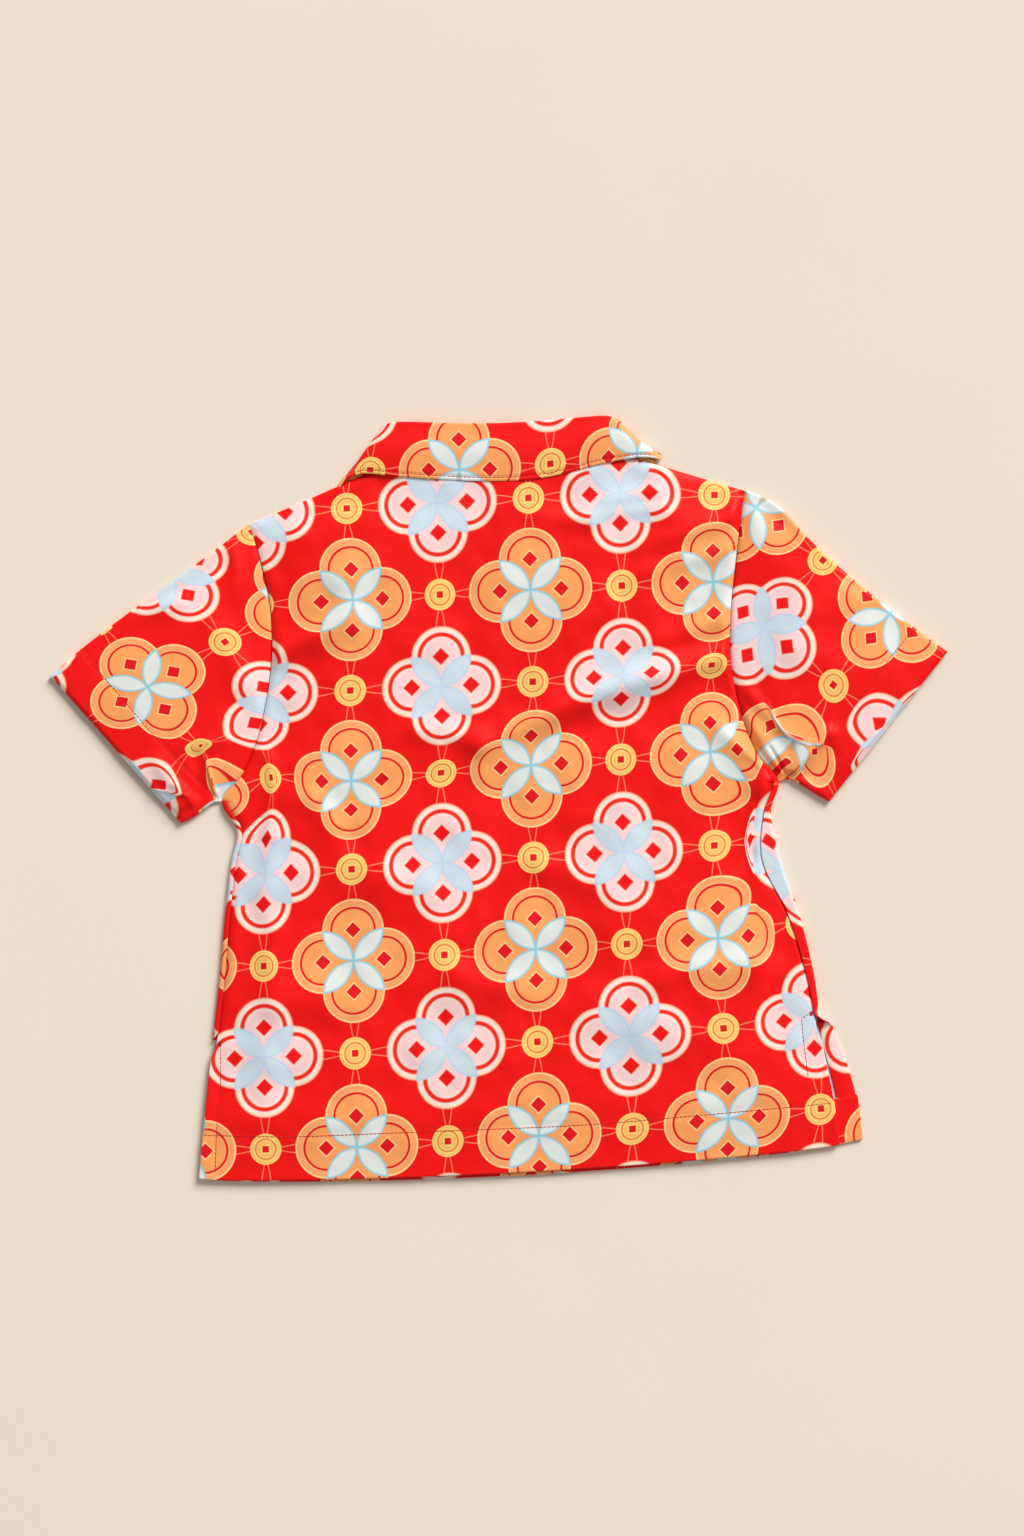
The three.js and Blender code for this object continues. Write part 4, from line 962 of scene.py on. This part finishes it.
def sleeve(side, table, lattice, pulls, folds, seed):
    """A sleeve's grid: rows from the armhole to the cuff, each a ring that starts at the seam
    under the arm, crosses the lower layer to the upper fold, turns half a round, and comes back
    over the crown to the lower fold."""
    outward = np.array([np.sign(table["top_x"][0]), 0])
    share = shares(SLEEVE_ROWS)[:, None]
    place = np.interp(share, table["share"], np.linspace(0, 1, len(table)))

    def plan_at(down):
        """Straight between the folds, bowed near the armhole to follow it."""
        top = curve(table_points(table, "top_x", "top_y"), place)
        low = curve(table_points(table, "low_x", "low_y"), place)
        straight = mix(top[:, :1], low[:, :1], down[..., None])
        armhole = curve(side, mix(1, UNDERARM, down))
        line = mix(curve(side, np.float64(1)), curve(side, np.float64(UNDERARM)), down[..., None])
        return straight + (armhole - line) * ((1 - share) ** 1.5)[..., None] + outward * 0.2

    edge = mix(EDGE_HEIGHT, FOLD, ease(share, 0.35))
    ends = plan_at(np.broadcast_to(np.array([0.0, 1.0]), (SLEEVE_ROWS, 2)))
    width = length(ends[:, :1] - ends[:, 1:])
    set_in = edge / 2 / width
    steps = shares(SLEEVE_COLS)[None, :]
    down = mix(set_in, 1 - set_in, steps)
    lower = plan_at(down[:, ::-1])
    upper = plan_at(down)
    from_fold = np.minimum(down, 1 - down) * width - edge / 2
    from_cuff = (1 - share) * length(upper[-1] - upper[0])[None, :]
    rise = CROWN * ease(from_fold, 30) * np.sin(np.pi * np.clip(0.12 + share * 0.76, 0, 1))
    lifted, drawn = creases(upper, folds)
    soft = lifted + ripple(upper, seed, 80, 0.6) + ripple(upper, seed + 4, 40, 0.4)
    soft = soft * ease(from_fold, 8) * ease(share, 0.08)
    groove = -0.35 * bell(from_cuff - CUFF_STITCH, GROOVE_HALF)
    hem = HEM_STEP * (1 - past_hem(from_cuff, CUFF_STITCH))
    dip = seam_dip((1 - from_cuff / from_cuff[:1]) * from_cuff[:1])
    roll_down = -CUFF_DROP * (1 - ease(from_cuff, 4.0))
    height = edge + rise + soft + groove + hem + dip + roll_down
    in_middle = ease(from_fold, 18) * ease(share, 0.4) * ease(1 - share, 0.2)
    under = np.maximum(ripple(lower, seed + 8, *UNDER_RIPPLE), 0) * in_middle[:, ::-1]
    turns = np.pi * (np.arange(1, TURN_COLS + 1) / (TURN_COLS + 1) - 0.5)[None, :]

    def turn(at, sense):
        centre = plan_at(np.broadcast_to(at, (SLEEVE_ROWS, 1)))
        away = unit(plan_at(np.broadcast_to(at + sense * 0.01, (SLEEVE_ROWS, 1))) - centre)
        angle = turns if sense < 0 else -turns
        plan = centre + away * (edge / 2 * np.cos(angle))[..., None]
        return raised(plan, edge / 2 * (1 + np.sin(angle)))

    ring = columns(
        raised(lower, under),
        turn(set_in, -1),
        raised(upper, height),
        turn(1 - set_in, 1),
    )
    over = plan_at(np.zeros((SLEEVE_ROWS, 1)))
    chart = columns(
        2 * over - lower,
        np.broadcast_to(over, (SLEEVE_ROWS, TURN_COLS, 2)),
        upper + drawn,
        np.broadcast_to(plan_at(np.ones((SLEEVE_ROWS, 1))), (SLEEVE_ROWS, TURN_COLS + 1, 2)),
    )
    coords = print_place(chart, **lattice, pulls=pulls)
    if outward[0] < 0:
        ring, coords = columns(ring[:, :1], ring[:, :0:-1]), coords[:, ::-1]
    cuff_rows = np.broadcast_to((from_cuff.mean(axis=1) < CUFF_STITCH)[:-1, None],
                                (SLEEVE_ROWS - 1, ring.shape[1]))
    at = 1 - CUFF_STITCH / length(upper[-1] - upper[0])
    line = np.array([[np.interp(at[col], share[:, 0], upper[:, col, axis]) for axis in (0, 1)]
                     for col in range(2, SLEEVE_COLS - 4)])
    return shell(ring, coords, CLOTH, cuff_rows, ring=True), line


SLEEVES = []
for sleeve_side, *cut in (
    ("left", LEFT_SIDE, SLEEVE_LEFT, LEFT_SLEEVE_PRINT, LEFT_SLEEVE_PULLS, LEFT_SLEEVE_CREASES, 5),
    ("right", RIGHT_SIDE, SLEEVE_RIGHT, RIGHT_SLEEVE_PRINT, RIGHT_SLEEVE_PULLS,
     RIGHT_SLEEVE_CREASES, 6),
):
    sleeve_part, cuff_line = sleeve(*cut)
    sleeve_piece = lay_out(f"sleeve.{sleeve_side}", [sleeve_part], f"sleeve_{sleeve_side}")
    SLEEVES.append((sleeve_piece, cuff_line[:-12] if sleeve_side == "right" else cuff_line))

# ================================================================ collar
# One folded strip of doubled cloth: a stand up from the neck seam, a tight roll, and a fall that
# lies on the back. Its two ends turn round the flattened neck to the front.
FRONT_NECK = [1 - step * (1 + OVERLAP / NECK_HALF) / 5 for step in range(5)]
COLLAR = np.array([
    ("front end", FRONT_NECK[4], 2.5, 154, 26, 106, 106, 0),
    ("front", FRONT_NECK[3], 13, 157, 42, 110, 110, 0),
    ("front bend", FRONT_NECK[2], 23, 163, 56, 121, 121, 0),
    ("front side", FRONT_NECK[1], 33, 173, 70, 140, 142, 0),
    ("side front", 1, 63, 207, 89, 183.4, 193, 16),
    ("side", 1, 67.6, 215.5, 90, 183.6, 194, 90),
    ("side back", 1, 62, 219.6, 80, 190.6, 195.4, 155),
    ("back side", 0.75, 50, 219.6, 60, 188.5, 192.6, 180),
    ("back", 0.5, 34, 218.6, 41, 186.6, 188.2, 180),
    ("back middle", 0.25, 17, 217.8, 20, 184.8, 184.6, 180),
    ("centre back", 0, 0, 217.4, 0, 184, 184, 180),
], dtype=[("at", "U12"), ("neck", float), ("roll_x", float), ("roll_y", float),
          ("edge_x", float), ("left_y", float), ("right_y", float), ("turn", float)])
COLLAR_TILT, COLLAR_SHIFT, COLLAR_MID = 0.03, 1, 3.1
STAND_INNER, FALL_OUTER, COLLAR_THICK = 0.8, 3.1, 0.9
ROLL_OUTER = (FALL_OUTER - STAND_INNER) / 2
COLLAR_ROUND, STAND_COLS, COLLAR_TURN, FALL_COLS = 110, 8, 9, 36
COLLAR_STITCH = 1.9  # from the free edge up to its stitching
COLLAR_PRINT = {"centre": (-23.8, 187.2), "across": (53, 3.3), "up": (-0.5, 53)}
COLLAR_PULLS = np.array([(-82, 197, 1.9, -4.4, 26), (88, 200, -1.9, -4.4, 26)], dtype=PULL)
UNDER_COLLAR = (0.5, 0)  # how far the print of the under collar stands from the upper collar's


def collar_half(sign):
    """Half the collar, from its front end to the centre back. Each column goes from the neck seam
    up the stand, round the roll and down the fall, at a depth from the middle of the flat neck
    that the turn carries from the front, through the side, to the back."""
    at = shares(COLLAR_ROUND)
    spot = at * (len(COLLAR) - 1)
    numbers = np.arange(len(COLLAR))
    neck = np.interp(spot, numbers, COLLAR["neck"])
    turn = np.radians(np.interp(spot, numbers, COLLAR["turn"]))
    across = 0.5 + sign * neck * (0.5 - NECK_LEFT)
    ones = np.ones_like(across)
    seam = np.where((turn < np.pi / 2)[:, None], body_plan(across, ones, front_top),
                    body_plan(across, ones, back_top))
    seam[:, 0] -= sign * (STAND_INNER + 1) * np.sin(turn)
    edge_column = "left_y" if sign < 0 else "right_y"

    def placed(points):
        return np.stack([sign * points[:, 0] + COLLAR_SHIFT,
                         points[:, 1] + COLLAR_TILT * sign * points[:, 0]], axis=-1)

    roll = placed(curve(table_points(COLLAR, "roll_x", "roll_y"), at))
    edge = placed(curve(table_points(COLLAR, "edge_x", edge_column), at))
    upward = unit(roll - seam)
    foot = roll - upward * ROLL_OUTER
    start = seam + upward * SEAM * 2
    middle, radius = (STAND_INNER + FALL_OUTER) / 2, (FALL_OUTER - STAND_INNER) / 2
    round_turns = np.pi * np.arange(1, COLLAR_TURN + 1) / (COLLAR_TURN + 1)
    stand, fall = shares(STAND_COLS), 1 - np.linspace(1, 0, FALL_COLS) ** 1.5
    from_edge = (1 - fall) * length(edge - foot)[:, None]
    pressed = 0.45 * bell(from_edge - COLLAR_STITCH, 0.8) + 0.3 * (1 - ease(from_edge, 0.9))
    swell = 0.9 * np.sin(np.pi * fall) ** 2 * np.clip(-np.cos(turn), 0, 1)[:, None]
    plan = columns(
        mix(start[:, None], foot[:, None], stand[None, :, None]),
        foot[:, None] + upward[:, None] * (radius * np.sin(round_turns))[None, :, None],
        mix(foot[:, None], edge[:, None], fall[None, :, None]),
    )
    inner = np.concatenate([np.full(STAND_COLS, STAND_INNER), middle - radius * np.cos(round_turns)])
    depth = columns(np.broadcast_to(inner, (COLLAR_ROUND, len(inner))),
                            FALL_OUTER - pressed + swell)
    x = plan[..., 0] + sign * depth * np.sin(turn)[:, None]
    z = COLLAR_MID - depth * np.cos(turn)[:, None]
    return np.stack([x, plan[..., 1], z], axis=-1)


def collar():
    """The whole strip, left end to right end, with its edge stitching pressed in and its fall
    undulating a little where it meets the shoulders."""
    grid = np.concatenate([collar_half(-1), collar_half(1)[-2::-1]])
    plan = grid[..., :2]
    around, down = gone(grid, 0), gone(grid, 1)
    around -= around[COLLAR_ROUND - 1]
    down -= down[:, STAND_COLS:STAND_COLS + 1]
    roll_y = 217.4 + COLLAR_TILT * around
    chart = np.stack([around, roll_y - down], axis=-1)
    from_edge = down[:, -1:] - down
    line = np.array([[np.interp(-COLLAR_STITCH, -off, row[:, axis]) for axis in (0, 1)]
                     for off, row in zip(from_edge[:, STAND_COLS:], grid[:, STAND_COLS:])])
    on_back = (grid[:, -1, 2] > COLLAR_MID + 1.5)
    coords = print_place(chart, **COLLAR_PRINT, pulls=COLLAR_PULLS)
    both_faces = np.ones((grid.shape[0] - 1, grid.shape[1] - 1), bool)
    return shell(grid, coords, COLLAR_THICK, both_faces, coords + UNDER_COLLAR), line[on_back]


collar_part, COLLAR_LINE = collar()
collar_piece = lay_out("collar_piece", [collar_part], "collar")

# ================================================================ stitching
# Single rows of lockstitch in dark red thread hold the hems, the vents and the collar's edge, and
# short bar tacks the vents' tops. Each stitch lies on the cloth and dips into it at its ends.
THREAD = 0.19  # radius
STITCH, PITCH = 2.2, 2.4  # length of a stitch, and from one to the next
ROUNDS, SIDES = 5, 6  # of the tube that a stitch is
TACKS = [[(181.3, -123.8), (181.5, -125.3), (181.7, -126.8)],
         [(-161.6, -141.4), (-161.7, -142.8), (-161.8, -144.2)]]
TACK_PITCH = 0.45

RED_THREAD, _, thread_shader = new_material("red thread", 0.5)
thread_shader.inputs["Base Color"].default_value = linear(188, 16, 26)


def stitches(name, cloth, lines, pitch=PITCH, aslant=0.0):
    """Stitches along lines on the top of a piece: tubes whose middle stands above the cloth by
    THREAD (0.8 - 1.5 t^2), t from -1 to 1 along the stitch. Aslant turns each across the line,
    for a bar tack."""
    tree = BVHTree.FromObject(cloth, bpy.context.evaluated_depsgraph_get())
    t = np.linspace(-1, 1, ROUNDS)
    round_turns = np.arange(SIDES) * 2 * np.pi / SIDES
    parts = []
    for line in lines:
        fine = curve(np.array(line, float), shares(300))
        run = gone(fine, 0)
        for at in np.arange(pitch / 2, run[-1] - pitch / 3, pitch):
            spot, ahead = (np.array([np.interp(place, run, fine[:, axis]) for axis in (0, 1)])
                           for place in (at, at + 0.2))
            along = unit(ahead - spot)
            side = np.array([-along[1], along[0]])
            along, side = mix(along, side, aslant), mix(side, -along, aslant)
            flat = spot + along * (t * STITCH / 2)[:, None]
            hits = [tree.ray_cast(Vector((*(point * MM), 0.1)), Vector((0, 0, -1)))[0]
                    for point in flat]
            if None in hits:
                continue
            height = np.array([hit.z for hit in hits]) / MM + THREAD * (0.8 - 1.5 * t ** 2)
            centre = columns(flat, height[:, None])
            wide = np.concatenate([side, [0]])[None, None, :] * np.cos(round_turns)[None, :, None]
            tall = np.array([0, 0, 1])[None, None, :] * np.sin(round_turns)[None, :, None]
            points = centre[:, None, :] + THREAD * (wide + tall)
            corners = np.arange(ROUNDS * SIDES).reshape(ROUNDS, SIDES)
            corners = columns(corners, corners[:, :1])
            quads, places = patches(corners, np.zeros((*corners.shape, 2)), flip=True)
            ends = np.array([(0, 1, 2, 3), (0, 3, 4, 5), (27, 26, 25, 24), (29, 28, 27, 24)])
            quads, places = np.concatenate([quads, ends]), np.concatenate([places, np.zeros((4, 4, 2))])
            parts.append((points.reshape(-1, 3), quads, places, np.zeros(len(quads), int)))
    piece = make_mesh(name, parts, [RED_THREAD])
    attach(piece, "root")


stitches("stitches.hem", back_piece, [HEM_STITCH])
stitches("stitches.vents", back_piece,
         [VENT_BAR_LEFT, VENT_STITCH_LEFT, VENT_BAR_RIGHT, VENT_STITCH_RIGHT])
stitches("stitches.tacks", back_piece, TACKS, TACK_PITCH, aslant=1.0)
for sleeve_side, (sleeve_piece, cuff_line) in zip(("left", "right"), SLEEVES):
    stitches(f"stitches.cuff_{sleeve_side}", sleeve_piece, [cuff_line])
stitches("stitches.collar", collar_piece, [COLLAR_LINE])

# ================================================================ buttons
# Five plain four-hole buttons of dyed plastic close the centre front. They are sewn to one front,
# stand through the other's buttonholes and lie under the shirt. Their shapes are the solids' own.
BUTTONS = 5


def mottled(name, roughness, scale, light, dark):
    """A material whose colour wanders between a light and a dark one with soft noise."""
    material, tree, shader = new_material(name, roughness)
    noise = add_node(tree, "TexNoise", {"Scale": scale})
    place = add_node(tree, "TexCoord", {})
    tree.links.new(place.outputs["Object"], noise.inputs["Vector"])
    colour = paint(tree, light, dark, noise.outputs["Fac"])
    tree.links.new(colour, shader.inputs["Base Color"])
    return material


BUTTON_PLASTIC = mottled("button plastic", 0.32, 300, linear(214, 40, 34), linear(190, 26, 24))
for number in range(1, BUTTONS + 1):
    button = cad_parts[f"button_{number}"]
    button.data.materials.clear()
    button.data.materials.append(BUTTON_PLASTIC)

# ================================================================ surface, light and camera
# The shirt lies on a plain pale board under a soft key light from the upper right. The camera
# looks straight down.
BOARD = 6.0  # from its middle to each side, in metres
board_mesh = bpy.data.meshes.new("board")
board_mesh.from_pydata([(x * BOARD, y * BOARD, 0) for x, y in ((-1, -1), (1, -1), (1, 1), (-1, 1))],
                       [], [(0, 1, 2, 3)])
board_paint = mottled("pale board", 0.9, 9, linear(236, 223, 207), linear(234, 221, 205))
board_mesh.materials.append(board_paint)
board = bpy.data.objects.new("board", board_mesh)
bpy.context.scene.collection.objects.link(board)


def area_light(name, at, towards, size, power, colour):
    """A square soft light at a place, facing another."""
    light = bpy.data.lights.new(name, "AREA")
    light.size, light.energy, light.color = size, power, colour
    holder = bpy.data.objects.new(name, light)
    holder.location = at
    holder.rotation_euler = (Vector(towards) - Vector(at)).to_track_quat("-Z", "Y").to_euler()
    bpy.context.scene.collection.objects.link(holder)


KEY_PLACE, KEY_SIZE, KEY_POWER = (9.3, 15.0, 11.4), 9.75, 5560  # metres and watts
area_light("key", KEY_PLACE, (0, 0, 0), KEY_SIZE, KEY_POWER, (1.0, 0.985, 0.96))
ROOM_LIGHT = 0.36  # strength of the light from all round
world = bpy.data.worlds.new("studio")
world.use_nodes = True
world.node_tree.nodes["Background"].inputs["Color"].default_value = (1.0, 0.99, 0.975, 1)
world.node_tree.nodes["Background"].inputs["Strength"].default_value = ROOM_LIGHT
bpy.context.scene.world = world
bpy.context.scene.view_settings.view_transform = "Standard"

LENS, SENSOR = 85.0, 36.0
VIEW_HEIGHT = 0.8909  # what the frame's height takes in at the cloth, in metres
OVER_X, OVER_Y, CLOTH_TOP = 7.8, 17.4, 4  # the middle of the view, and how high the cloth lies
camera_data = bpy.data.cameras.new("camera")
camera_data.lens, camera_data.sensor_width = LENS, SENSOR
camera = bpy.data.objects.new("camera", camera_data)
camera.location = (OVER_X * MM, OVER_Y * MM, VIEW_HEIGHT * LENS / SENSOR + CLOTH_TOP * MM)
bpy.context.scene.collection.objects.link(camera)
bpy.context.scene.camera = camera
